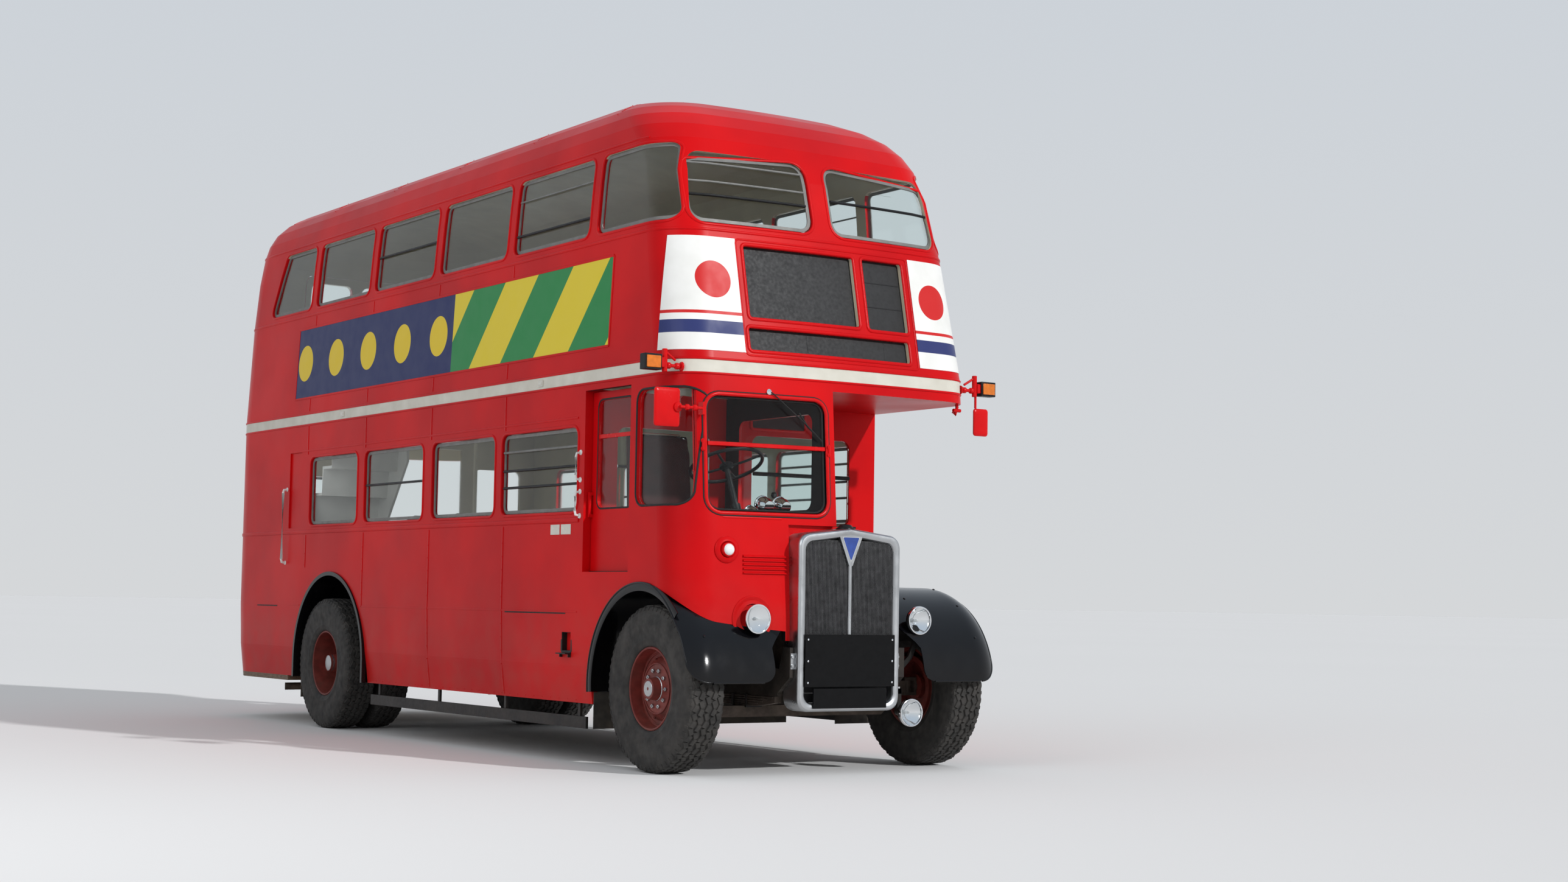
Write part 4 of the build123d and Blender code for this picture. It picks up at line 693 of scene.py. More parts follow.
def flat_bar(width, height):
    half = width / 2
    return [(half, -0.002), (half, height * 0.6), (half * 0.8, height), (-half * 0.8, height),
            (-half, height * 0.6), (-half, -0.002)]


# Repeated fittings by one Geometry Nodes tree
def repeat_tree():
    """Fittings stood on points: each turns to the point's out and along directions."""
    tree = bpy.data.node_groups.new("Repeated fitting", "GeometryNodeTree")
    for name, way, kind in (("Places", "INPUT", "Geometry"), ("Fitting", "INPUT", "Object"),
                            ("Size", "INPUT", "Float"), ("Finish", "INPUT", "Material"),
                            ("Geometry", "OUTPUT", "Geometry")):
        tree.interface.new_socket(name, in_out=way, socket_type="NodeSocket" + kind)
    new = tree.nodes.new
    inlet = new("NodeGroupInput")
    info = new("GeometryNodeObjectInfo")
    stand = new("FunctionNodeAlignRotationToVector")
    stand.axis = "Z"
    turn = new("FunctionNodeAlignRotationToVector")
    turn.axis = "X"
    turn.pivot_axis = "Z"
    directions = []
    for name in ("out", "along"):
        reader = new("GeometryNodeInputNamedAttribute")
        reader.data_type = "FLOAT_VECTOR"
        reader.inputs["Name"].default_value = name
        directions.append(reader)
    spread = new("GeometryNodeInstanceOnPoints")
    real = new("GeometryNodeRealizeInstances")
    cover = new("GeometryNodeSetMaterial")
    for source, output, target, socket in (
            (inlet, "Fitting", info, "Object"), (directions[0], "Attribute", stand, "Vector"),
            (stand, "Rotation", turn, "Rotation"), (directions[1], "Attribute", turn, "Vector"),
            (inlet, "Places", spread, "Points"), (info, "Geometry", spread, "Instance"),
            (turn, "Rotation", spread, "Rotation"), (inlet, "Size", spread, "Scale"),
            (spread, "Instances", real, "Geometry"), (real, "Geometry", cover, "Geometry"),
            (inlet, "Finish", cover, "Material"),
            (cover, "Geometry", new("NodeGroupOutput"), "Geometry")):
        tree.links.new(source.outputs[output], target.inputs[socket])
    return tree


fitting_tree = repeat_tree()


def repeated(name, fitting, places, finish, body="body", slot=None, size=1.0):
    """One piece of many like fittings; places are (point, out, along)."""
    points = bpy.data.meshes.new(name + "_places")
    points.from_pydata([tuple(p[0]) for p in places], [], [])
    for index, key in ((1, "out"), (2, "along")):
        column = points.attributes.new(key, "FLOAT_VECTOR", "POINT")
        column.data.foreach_set("vector", [c for p in places for c in p[index]])
    one = bpy.data.objects.new(name + "_one", cleaned(fitting, name + "_one", degenerate=False))
    holder = bpy.data.objects.new(name + "_holder", points)
    link_object(one)
    link_object(holder)
    modifier = holder.modifiers.new("fittings", "NODES")
    modifier.node_group = fitting_tree
    values = {"Fitting": one, "Size": size, "Finish": finish.material}
    for item in fitting_tree.interface.items_tree:
        if item.name in values:
            modifier[item.identifier] = values[item.name]
    bpy.context.view_layer.update()
    ready = holder.evaluated_get(bpy.context.evaluated_depsgraph_get())
    mesh = bpy.data.meshes.new_from_object(ready)
    mesh.name = name
    bpy.data.objects.remove(holder)
    bpy.data.objects.remove(one)
    settle(mesh, body, slot or finish.slot)


def turned_fitting(profile, steps):
    shape = Shape()
    shape.turned(profile, (0, 0, 0), UP, steps)
    return shape


def block(length, width, low, high, taper=(0.94, 0.8)):
    """Bar along X with a narrower top."""
    shape = Shape()
    foot = [(length / 2 * a, width / 2 * b, low) for a, b in ((-1, -1), (1, -1), (1, 1), (-1, 1))]
    shape.solid([foot, [(x * taper[0], y * taper[1], high) for x, y, _ in foot]])
    return shape


NUT = turned_fitting([(0, 0.0001), (0, 0.5), (0.42, 0.5), (0.5, 0.42), (0.5, 0.22), (0.72, 0.2),
                      (0.75, 0.0001)], 6)
RIVET = turned_fitting([(-0.1, 0.0001), (-0.1, 0.5), (0.12, 0.46), (0.26, 0.28), (0.32, 0.0001)], 8)


# CAD nodes in their finishes
def cover(finish, *names):
    for name in names:
        mesh = nodes[name].data
        mesh.materials.clear()
        mesh.materials.append(finish.material)


def dress(node, finishes, choose, body="body"):
    """A copy of a CAD node with a finish for each face; it stands for the node."""
    mesh = nodes[node].data.copy()
    mesh.name = node + "_painted"
    mesh.materials.clear()
    for finish in finishes:
        mesh.materials.append(finish.material)
    mesh.polygons.foreach_set("material_index", [int(choose(p.center, p.normal)) for p in mesh.polygons])
    show(mesh, body, (node,))


def faces_in(middle_x, front_y, rear_y, top_z):
    """True where a face of a wall looks into the bus."""
    def choose(centre, normal):
        spine = Vector((middle_x, min(max(centre.y, front_y), rear_y), min(centre.z, top_z)))
        return (centre - spine).normalized().dot(normal) < -0.25
    return choose


body_faces = faces_in(0.0, -3.05, 3.15, 3.45)
for wall in WALLS:
    dress(wall, [paint.body, paint.cream], body_faces)
dress("emergency_door", [paint.body, paint.cream], body_faces, "emergency_door")
dress("cab_shell", [paint.body, paint.black], faces_in(-0.6, -3.35, -2.6, 2.2))
dress("front_bulkhead", [paint.body, paint.cream], lambda c, n: n.y > 0.5)
dress("upper_floor", [paint.boards, paint.cream], lambda c, n: n.z < 0)
cover(paint.cream, "rear_bulkhead", "guard_and_poles")
cover(paint.stair, "staircase")
cover(paint.boards, "lower_floor", "platform_floor")
cover(paint.body, "cab_door", "bonnet")
cover(paint.wing, "wheel_boxes")
cover(paint.black, "lifeguard_rails", "cab_floor")
cover(paint.plate, "front_boards")
cover(paint.chassis, "chassis_frame", "engine_bearers", "engine_side_panel", "fuel_tank")
cover(paint.iron, "engine", "gearbox_and_shaft", "front_axle_beam", "knuckle_nearside",
      "knuckle_offside", "rear_axle", "leaf_springs")
cover(paint.pipe, "exhaust")
cover(paint.flap, "mudflaps")
cover(paint.panes, *PANES)
cover(paint.core, "radiator_core")
cover(paint.blind, "blind_boxes")
for name in PANES:
    bpy.data.objects[name].visible_shadow = False
    bpy.data.objects[name].visible_diffuse = False

# Beads and cover strips of the body
beads = Shape()
strips = Shape()
rivets = []
for side in BOTH:
    for z in (2.411, 2.5):
        beads.sweep(hoop(z, side), half_round(0.016, 0.007))
    for z, parts, low, high, size in ((3.316, "front side rear", -3.7, 4.0, (0.02, 0.006)),
                                      (3.93, "side rear", -3.15, 3.6, (0.016, 0.006)),
                                      (1.545, "side", -2.525, 2.415, (0.032, 0.007))):
        beads.sweep([p for p in hoop(z, side, parts) if low <= p[0].y <= high], half_round(*size))
    for y in SEAM_Y:
        foot = 1.26 if y > 1.9 else 0.4
        for low, high, steps, size in ((foot, 1.52, 8, (0.02, 0.003)), (2.17, 2.4, 4, (0.02, 0.003)),
                                       (2.52, 2.622, 1, (0.016, 0.0025)),
                                       (3.216, 3.3, 1, (0.016, 0.0025))):
            strips.sweep([on_side(side, y, z) for z in run(low, high, steps)], flat_bar(*size))
        for k in range(int((1.48 - foot) / 0.09)):
            rivets.append((on_side(side, y, foot + 0.02 + 0.09 * k), 0.003))
    for low, high in ((-2.5, 0.9), (2.13, 2.4)):
        strips.sweep([on_side(side, y, 0.96) for y in run(low, high, 10)], flat_bar(0.012, 0.0025))
    strips.sweep([on_side(side, y, 2.2) for y in (-2.47, 0, 2.4)], half_round(0.014, 0.004))
    rivets += [(on_side(side, -2.45 + k * 0.115, 0.405), 0.0) for k in range(42)]
beads.sweep([p for p in hoop(1.545, OFFSIDE, "side rear") if p[0].y > 2.4], half_round(0.032, 0.007))
beads.sweep([on_front(x / 20, 1.545) for x in range(-17, -8)], flat_bar(0.012, 0.002))
piece(beads, "body_beads", [paint.body])
for y in ROOF_SEAM_Y + (3.1,):
    strips.sweep([on_roof(x / 20, y) for x in range(-18, 19)], flat_bar(0.03, 0.003))
for y in ROOF_SEAM_Y:
    rivets += [(on_roof(k * 0.055, y), 0.003) for k in range(-17, 18)]
for z in (1.2, 2.2):
    strips.sweep([on_rear(x, z) for x in (-0.55, -0.35, -0.1, 0.1, 0.235)], flat_bar(0.014, 0.003))
piece(strips, "panel_cover_strips", [paint.body])
repeated("body_rivets", RIVET, [(spot[0] + spot[1] * lift, spot[1], (0, 1, 0))
                                for spot, lift in rivets if spot], paint.body, size=0.009)


# Window pans, rims and bars
def ring(shape, where, outline, profile, finish=0, tree=skin):
    """A trim ring laid on the side, front or rear that where looks at."""
    shape.sweep([where(a, z, tree) for a, z in outline], profile, finish, closed=True)


def ring_piece(name, finish, where, outlines, profile, body="body"):
    shape = Shape()
    for outline in outlines:
        ring(shape, where, outline, profile)
    piece(shape, name, [finish], body)


PAN = [(-0.011, -0.001), (-0.011, 0.007), (0.011, 0.007), (0.011, -0.001)]
RIM = half_round(0.02, 0.006)
GASKET = half_round(0.009, 0.004)
NO_LEAN = (0.0, 0.0)
side_windows = [(y, LOWER_Z, NO_LEAN) for y in LOWER_WINDOWS]
side_windows += [(y, UPPER_Z, NO_LEAN) for y in UPPER_WINDOWS]
side_windows += [((-3.438, -2.585), UPPER_Z, (0.158, 0.0)), ((2.173, 3.058), UPPER_Z, (0.0, -0.24))]
openings = [(partial(on_side, side), y, z, 0.06, lean, NO_LEAN) for side in BOTH
            for y, z, lean in side_windows]
openings += [(on_front, x, FRONT_UPPER_Z, 0.09, NO_LEAN, drop)
             for x, drop in zip(FRONT_UPPER, ((0.045, 0), (0, 0.045)))]
openings += [(on_rear, (-0.62, -0.12), (1.62, 2.1), 0.06, NO_LEAN, NO_LEAN)]
pans = Shape()
rims = Shape()
for where, y, z, radius, lean, drop in openings:
    ring(pans, where, window_outline(y, z, radius, -0.016, lean, drop), PAN, tree=panes)
    ring(rims, where, window_outline(y, z, radius, 0.009, lean, drop), RIM)
piece(pans, "window_pans", [paint.pan])
piece(rims, "window_rims", [paint.body])
ring_piece("emergency_door_gaskets", paint.gasket, on_rear,
           [window_outline(x, (3.345, 3.825), 0.06, 0.012) for x in ((-0.445, -0.045), (0.045, 0.445))],
           GASKET, "emergency_door")

# Bars stand on the glass; columns: window, height, radius, finish
SIDE_BARS = ((LOWER_WINDOWS[0], 2.02, 0.009, 1), (LOWER_WINDOWS[0], 1.894, 0.009, 0),
             (LOWER_WINDOWS[0], 1.78, 0.009, 0), (LOWER_WINDOWS[2], 1.88, 0.009, 0),
             (UPPER_WINDOWS[0], 3.5, 0.009, 0), (UPPER_WINDOWS[0], 3.74, 0.006, 1),
             (UPPER_WINDOWS[2], 3.634, 0.009, 0))
FRONT_BARS = ((FRONT_UPPER[0], 3.54, 0.009, 0), (FRONT_UPPER[0], 3.63, 0.007, 1),
              (FRONT_UPPER[0], 3.75, 0.007, 1), (FRONT_UPPER[1], 3.595, 0.009, 0))
bars = Shape()
for where, inset, rows in ((partial(on_side, OFFSIDE), 0.014, SIDE_BARS),
                           (partial(on_side, NEARSIDE), 0.014, SIDE_BARS), (on_front, 0.03, FRONT_BARS)):
    for window, z, radius, finish in rows:
        path = [where(y, z, panes) for y in run(window[0] + inset, window[1] - inset, 6)]
        if all(path):
            bars.tube([p + n * 0.01 for p, n in path], radius, finish)
bars.tube([(0.14, -2.568, 1.895), (0.92, -2.568, 1.895)], 0.014, 0)
piece(bars, "window_bars", [paint.black, paint.pan])

# Windscreen: gasket, red frame, opening bar with its hinges, and the wiper
screen = Shape()
for grow, profile, finish, tree in ((0.024, GASKET, 1, skin), (0.01, half_round(0.024, 0.01), 0, skin),
                                    (-0.01, half_round(0.016, 0.01), 1, panes)):
    outline = window_outline((-0.945, -0.115), (1.58, 2.28), 0.08, grow)
    ring(screen, on_front, outline, profile, finish, tree)
sill = [on_front(x, 1.985, panes) for x in run(-0.935, -0.125, 8)]
screen.sweep([(p + n * 0.016, n) for p, n in sill], flat_bar(0.026, 0.012))
for x in (-0.968, -0.098):
    spot, out = on_front(x, 1.975)
    screen.tube([spot + out * 0.012 + Vector((0, 0, dz)) for dz in (-0.03, 0.03)], 0.009, 0, 12)
    for dz in (-0.024, 0.024):
        screen.tube([spot + out * off + Vector((0, 0, dz)) for off in (0.002, 0.016)], 0.014, 0, 12)
pivot, out = on_front(-0.52, 2.318)
screen.turned([(-0.002, 0.001), (-0.002, 0.02), (0.012, 0.018), (0.02, 0.009), (0.022, 0.001)],
              pivot, out, 20, 2)
tip, tip_out = on_front(-0.25, 2.12, panes)
screen.tube([pivot + out * 0.016, pivot + out * 0.022 + Vector((0.02, 0, -0.01)), tip + tip_out * 0.034],
            0.004, 1)
blade_top = on_front(-0.3, 2.2, panes)[0] + tip_out * 0.016
blade_low = on_front(-0.14, 2.03, panes)[0] + tip_out * 0.022
screen.tube([blade_top, tip + tip_out * 0.028, blade_low], 0.006, 1, 6)
piece(screen, "windscreen_frame", [paint.trim, paint.gasket, paint.chrome])

ring_piece("cab_window_gasket", paint.gasket, partial(on_side, OFFSIDE),
           [window_outline((-3.688, -3.216), (1.62, 2.32), 0.07, 0.006)], half_round(0.014, 0.005))

door_trim = Shape()
DOOR_FACE = -1.0872
door_trim.sweep([((DOOR_FACE, y, z), (-1, 0, 0)) for y, z in
                 window_outline((-3.065, -2.636), (1.62, 2.3), 0.045, 0.006)],
                half_round(0.012, 0.0015), closed=True)
door_trim.box((-1.0865, -3.058, 2.058), (-1.078, -2.643, 2.084), 1)
door_trim.box((-1.0715, -2.665, 1.5), (-1.044, -2.62, 1.548), 2)
piece(door_trim, "cab_door_trim", [paint.gasket, paint.trim, paint.chrome], "cab_door", "red_paint",
      bevel=0.002)

handles = Shape()
for y, low, high, radius in ((-2.512, 1.57, 1.725, 0.008), (-2.512, 1.8, 1.975, 0.008),
                             (2.455, 1.3, 1.9, 0.011)):
    wall = on_side(OFFSIDE, y, low)[0].x
    handles.tube([(wall + dx, y, z) for dx, z in (
        (0.002, low), (-0.03, low + 0.006), (-0.036, low + 0.03), (-0.036, high - 0.03),
        (-0.03, high - 0.006), (0.002, high))], radius, 0, 12)
    for end in (low, high):
        handles.turned([(-0.001, 0.001), (-0.001, 0.018), (0.005, 0.016), (0.008, 0.009), (0.008, 0.001)],
                       (wall, y, end), (-1, 0, 0), 16)
piece(handles, "grab_handles", [paint.grab])

# Blind frames and the joints in the number blind
frames = Shape()
blinds = (((-0.61, 0.2), (2.78, 3.23)), ((0.28, 0.6), (2.775, 3.23)), ((-0.63, 0.585), (2.575, 2.71)))
for x, z in blinds:
    ring(frames, on_front, window_outline(x, z, 0.015, 0.012), half_round(0.024, 0.008))
ring(frames, on_front, window_outline((-0.655, 0.645), (2.545, 3.262), 0.02, 0.008),
     half_round(0.014, 0.005))
piece(frames, "blind_frames", [paint.body])
cloth_face = tree_of(("blind_boxes",))
joints = Shape()
for z in (2.925, 3.085):
    joints.sweep([on_front(x, z, cloth_face) for x in run(0.295, 0.585, 4)], half_round(0.007, 0.0025))
for x in (-0.2, 0.4):
    joints.sweep([on_front(x, z, cloth_face) for z in run(2.585, 2.7, 3)], half_round(0.004, 0.0015))
joints.box((0.125, -2.5695, 2.2), (0.545, -2.56, 2.39))
piece(joints, "blind_joints", [paint.blind])
canopy_frame = Shape()
canopy_frame.sweep([((x, -2.566, z), FORWARD) for x, z in
                    window_outline((0.125, 0.545), (2.2, 2.39), 0.012, 0.008)],
                   half_round(0.02, 0.01), closed=True)
piece(canopy_frame, "canopy_blind_frame", [paint.trim])

# Posters round the front corners, and the painted boards along the upper deck
posters = Shape()
artwork = Shape()
edging = Shape()
ART_Y = (-2.83, 2.36)
ART_Z = (2.632, 3.208)
for side in BOTH:
    posters.plate([[on_front(side * (0.665 + 0.022 * j), z) for j in range(7)]
                   + [on_corner(side, FRONT, z, 2.8 * step) for step in range(1, 23)]
                   for z in run(2.552, 3.27, 14)], 0.003)
    artwork.plate([[on_side(side, y, z) for y in run(-2.82, 2.35, 40)] for z in run(2.64, 3.2, 8)], 0.0015)
    for z in ART_Z:
        edging.sweep([on_side(side, y, z) for y in run(*ART_Y, 20)], flat_bar(0.016, 0.004))
    for y in ART_Y:
        edging.sweep([on_side(side, y, z) for z in run(*ART_Z, 6)], flat_bar(0.016, 0.004))
piece(posters, "front_posters", [paint.poster], angle=50)
piece(artwork, "side_artwork", [paint.artwork], angle=50)
piece(edging, "side_artwork_edging", [paint.body])

# Small fittings of the front and the offside
pressings = Shape()
for z in (1.215, 1.24, 1.265, 1.29, 1.315):
    pressings.sweep([on_front(x, z) for x in run(-0.72, -0.42, 8)],
                    [(-0.007, -0.002), (-0.007, 0.002), (0.001, 0.013), (0.005, 0.013), (0.006, -0.002)])
LAMP_X = -0.66
LAMP_Z = 0.94
pressings.turned([(-0.004, 0.09), (-0.004, 0.14), (0.004, 0.138), (0.008, 0.132), (0.006, 0.122),
                  (0.004, 0.112), (0.01, 0.1), (0.014, 0.09)], *on_front(LAMP_X, LAMP_Z), 56, closed=True)
side_lamp_at, side_lamp_out = on_front(-0.83, 1.35)
pressings.turned([(-0.012, 0.05), (-0.012, 0.082), (0.006, 0.08), (0.016, 0.07), (0.02, 0.054),
                  (0.016, 0.048)], side_lamp_at, side_lamp_out, 40, closed=True)
piece(pressings, "cab_front_pressings", [paint.body])

# Step hole in the offside, with its lining, frame and tread; then the small plates of the walls
fittings = Shape()
step_x = on_side(OFFSIDE, -2.36, 0.69)[0].x
fittings.boxes((step_x, 0, 0), ((0.04, 0.0425, -2.419, -2.301, 0.711, 0.829, 0),
                                (0.001, 0.0425, -2.419, -2.417, 0.711, 0.829, 0),
                                (0.001, 0.0425, -2.303, -2.301, 0.711, 0.829, 0),
                                (0.001, 0.0425, -2.419, -2.301, 0.711, 0.713, 0),
                                (0.001, 0.0425, -2.419, -2.301, 0.827, 0.829, 0)))
fittings.sweep([((step_x, y, z), (-1, 0, 0)) for y, z in
                window_outline((-2.42, -2.3), (0.71, 0.83), 0.01, 0.006)],
               flat_bar(0.016, 0.003), 0, closed=True)
fittings.boxes((step_x, 0, 0), ((-0.045, 0.002, -2.425, -2.295, 0.69, 0.698, 0),
                                (-0.02, 0.002, -2.42, -2.412, 0.67, 0.692, 0),
                                (-0.02, 0.002, -2.308, -2.3, 0.67, 0.692, 0)))
for y0, y1 in ((-2.4, -2.27), (-2.25, -2.13)):
    wall = on_side(OFFSIDE, (y0 + y1) / 2, 1.49)[0].x
    fittings.box((wall - 0.003, y0, 1.455), (wall + 0.001, y1, 1.52), 1)
for y, z in ((-1.95, 2.455), (1.35, 2.455)):
    for side in BOTH:
        wall = on_side(side, y, z)[0].x
        for proud, long, tall, finish in ((0.008, 0.03, 0.02, 2), (0.011, 0.018, 0.01, 1)):
            fittings.box((wall, y - long, z - tall), (wall + side * proud, y + long, z + tall), finish)
for low, high in ((-2.35, -1.5), (2.6, 3.05)):
    fittings.sweep([on_side(OFFSIDE, y, 0.95) for y in run(low, high, 6)], flat_bar(0.01, 0.0012), 3)
piece(fittings, "wall_fittings", [paint.black, paint.off_white, paint.off_white, paint.gasket],
      bevel=0.0012)


# Radiator: polished shell, centre bar, wires, badge, cap and side clamps
def radiator_line(inset):
    """Front outline of the radiator shell, moved inwards."""
    half = 0.38 - inset
    low = PLATFORM + inset
    top = 1.5 - inset
    shoulder = top - 0.045
    corners = [(RADIATOR_X - half, low), (RADIATOR_X + half, low), (RADIATOR_X + half, shoulder),
               (RADIATOR_X, top), (RADIATOR_X - half, shoulder)]
    soft = 0.078 - inset * 0.5
    return rounded(corners, [soft, soft, soft, 0.015, soft], 10)


# Columns: inset from the outline, y
SHELL_SECTION = ((0.0, -3.758), (0.0, -3.89), (0.001, -3.9), (0.005, -3.91), (0.012, -3.9165),
                 (0.022, -3.918), (0.034, -3.917), (0.044, -3.912), (0.05, -3.903), (0.052, -3.894),
                 (0.052, -3.862), (0.046, -3.758))
shell = Shape()
shell.grid([[(x, y, z) for x, z in radiator_line(inset)] for inset, y in SHELL_SECTION],
           close_rows=True, close_columns=True)
shell.sweep([((RADIATOR_X, -3.9, z), FORWARD) for z in run(0.852, 1.352, 6)], half_round(0.026, 0.016))
shield = [(RADIATOR_X + dx, z) for dx, z in ((-0.086, 1.452), (0.0, 1.478), (0.086, 1.452),
                                             (0.014, 1.272), (0.0, 1.262), (-0.014, 1.272))]
shell.grid([[(x, y, z) for x, z in shield] for y in (-3.89, -3.914)], close_columns=True)
shell.face([(shield[i][0], -3.914, shield[i][1]) for i in (0, 5, 4, 3, 2, 1)])
for side in BOTH:
    edge = RADIATOR_X + side * 0.38
    shell.box((edge - side * 0.004, -3.872, 0.64), (edge + side * 0.026, -3.842, 0.735))
    for z in (0.66, 0.715):
        shell.tube([(edge + side * 0.014, -3.88, z), (edge + side * 0.014, -3.832, z)], 0.01)
shell.turned([(0.0, 0.001), (0.0, 0.06), (0.01, 0.058), (0.013, 0.048), (0.02, 0.044), (0.03, 0.036),
              (0.034, 0.02), (0.034, 0.001)], (RADIATOR_X, -3.85, 1.491), UP, 28, 1)
shell.box((RADIATOR_X + 0.02, -3.856, 1.5), (RADIATOR_X + 0.075, -3.844, 1.512), 1)
piece(shell, "radiator_polished_shell", [paint.silver, paint.black], stands_for=("radiator_shell",),
      angle=28)
wires = [((RADIATOR_X + k * 0.0098, -3.893, 1.134), FORWARD, UP) for k in range(-33, 34) if k]
repeated("radiator_wires", block(0.58, 0.0042, 0, 0.006), wires, paint.slats)
cross_wires = [((RADIATOR_X, -3.891, 0.88 + 0.045 * k), FORWARD, EAST) for k in range(13)]
repeated("radiator_cross_wires", block(0.655, 0.003, 0, 0.003), cross_wires, paint.core)

badge = Shape()
for half, top, low, front, finish in ((0.067, 1.447, 1.284, -3.9155, 0), (0.06, 1.443, 1.298, -3.9165, 1)):
    outline = rounded([(RADIATOR_X - half, top), (RADIATOR_X + half, top), (RADIATOR_X, low)], 0.006, 3)
    badge.grid([[(x, y, z) for x, z in outline] for y in (-3.9135, front)], finish, close_columns=True)
    badge.face([(x, front, z) for x, z in outline], finish)
piece(badge, "radiator_blank_badge", [paint.chrome, paint.enamel])
fixings = [((x, -3.9245, z), FORWARD, EAST) for x in (-0.335, 0.295) for z in (0.56, 0.69, 0.82)]
fixings += [((x, -3.9255, 0.465), FORWARD, EAST) for x in (-0.27, 0.225)]
repeated("board_fixings", RIVET, fixings, paint.chrome, size=0.014)

# Lamp sections in radii: along, out and a thickness to take off; then steps, closed or not
RIM_RING = ((-0.2, 0.89), (-0.17, 0.93), (-0.19, 0.98), (-0.27, 1), (-0.4, 0.99), (-0.4, 0.9))
LENS = ((0, 0, 0.004), (-0.02, 0.3, 0.004), (-0.09, 0.6, 0.004), (-0.24, 0.9), (-0.3, 0.9),
        (-0.12, 0.6, 0.007), (-0.05, 0.3, 0.007), (0, 0, 0.01))
REFLECTOR = ((-0.96, 0), (-0.94, 0.16), (-0.84, 0.42), (-0.64, 0.7), (-0.36, 0.9), (-0.38, 0.93),
             (-0.67, 0.73), (-0.88, 0.44), (-0.99, 0.16), (-1.0, 0))
BULB = ((-0.95, 0), (-0.94, 0.1), (-0.6, 0.09), (-0.54, 0.05), (-0.52, 0))
BOWL = ((-0.36, 0.985), (-0.46, 0.985), (-0.7, 0.88), (-0.92, 0.66), (-1.06, 0.34), (-1.09, 0),
        (-1.03, 0), (-1.02, 0.2), (-0.9, 0.48), (-0.68, 0.76), (-0.38, 0.94), (-0.36, 0.95))
LAMP_RINGS = ((RIM_RING, 40, True), (LENS, 32, False), (REFLECTOR, 32, False), (BULB, 12, False),
              (BOWL, 36, False))


def lamp(shape, x, z, r, front, back, deep=1.0):
    """Rim, domed lens, reflector, bulb and bowl of a round lamp that looks forward."""
    for finish, (section, steps, closed) in enumerate(LAMP_RINGS):
        shape.turned([((a * r - sum(less)) * deep, max(0.001, b * r)) for a, b, *less in section],
                     (x, front, z), FORWARD, steps, finish, closed)
    shape.tube([(x, front + 1.04 * r * deep, z), (x, back, z)], 0.26 * r, 4, 14)


lamps = Shape()
lamp(lamps, LAMP_X, LAMP_Z, 0.09, -3.876, -3.8, 0.48)
lamp(lamps, 0.572, LAMP_Z, 0.09, -3.862, -3.745)
lamp(lamps, 0.508, 0.366, 0.088, -3.868, -3.7)
lamps.sweep([(place, FORWARD) for place in (
    (0.572, -3.79, 0.88), (0.56, -3.8, 0.79), (0.53, -3.79, 0.71), (0.49, -3.76, 0.65),
    (0.425, -3.745, 0.62))], [(-0.016, -0.01), (-0.016, 0.01), (0.016, 0.01), (0.016, -0.01)], 4)
lamps.boxes((0, 0, 0), ((0.421, 0.525, -3.722, -3.69, 0.478, 0.512, 4),
                        (0.493, 0.523, -3.722, -3.69, 0.366, 0.512, 4)))
for x in (0.445, 0.508):
    lamps.tube([(x, -3.706, 0.47), (x, -3.706, 0.522)], 0.012, 0, 6)
piece(lamps, "lamps_glazed", [paint.chrome, paint.lens, paint.mirror, paint.white_lens, paint.black],
      slot="lamp_chrome", stands_for=("lamps",), angle=40)
side_lamp = Shape()
tilt = (side_lamp_out + Vector((0, -1.2, 0))).normalized()
side_lamp.turned([(-0.03, 0.001), (-0.03, 0.045), (0.026, 0.044), (0.034, 0.04), (0.035, 0.034)],
                 side_lamp_at, tilt)
side_lamp.turned([(0.026, 0.001), (0.026, 0.036), (0.036, 0.035), (0.046, 0.028), (0.052, 0.016),
                  (0.054, 0.001)], side_lamp_at, tilt, 32, 1)
piece(side_lamp, "side_lamp", [paint.trim, paint.white_lens], slot="lamp_chrome")

# Direction indicators with their knuckle fittings
SIGNAL_Y = -3.6
SIGNAL_Z = 2.445
signals = Shape()
for side in BOTH:
    signals.boxes((0, 0, 0), ((1.222, 1.34, -3.632, -3.568, 2.412, 2.508, 1),
                              (1.233, 1.329, -3.64, -3.63, 2.424, 2.496, 2),
                              (1.233, 1.329, -3.57, -3.56, 2.424, 2.496, 2),
                              (1.196, 1.224, -3.622, -3.578, 2.43, 2.49, 0)), side)
    signals.tube([(side * 1.186, SIGNAL_Y, 2.405), (side * 1.186, SIGNAL_Y, 2.545)], 0.017, 0, 14)
    signals.tube([(side * 1.186, SIGNAL_Y, 2.53), (side * 1.105, -3.59, 2.48)], 0.008)
    start = on_side(side, SIGNAL_Y, SIGNAL_Z)
    wall = start[0].x if start else side * 1.03
    signals.tube([(wall - side * 0.01, SIGNAL_Y, SIGNAL_Z), (side * 1.205, SIGNAL_Y, SIGNAL_Z)], 0.011, 0, 12)
    signals.turned([(-0.004, 0.001), (-0.004, 0.03), (0.006, 0.028), (0.012, 0.018), (0.014, 0.001)],
                   (wall + side * 0.002, SIGNAL_Y, SIGNAL_Z), (side, 0, 0), 20)
    for x in (1.1, 1.16):
        signals.collar(0.015, 0.02, (side * x, SIGNAL_Y, SIGNAL_Z), (side, 0, 0))
piece(signals, "direction_indicators", [paint.trim, paint.black, paint.amber], slot="amber_lens",
      stands_for=("indicators",), bevel=0.004)

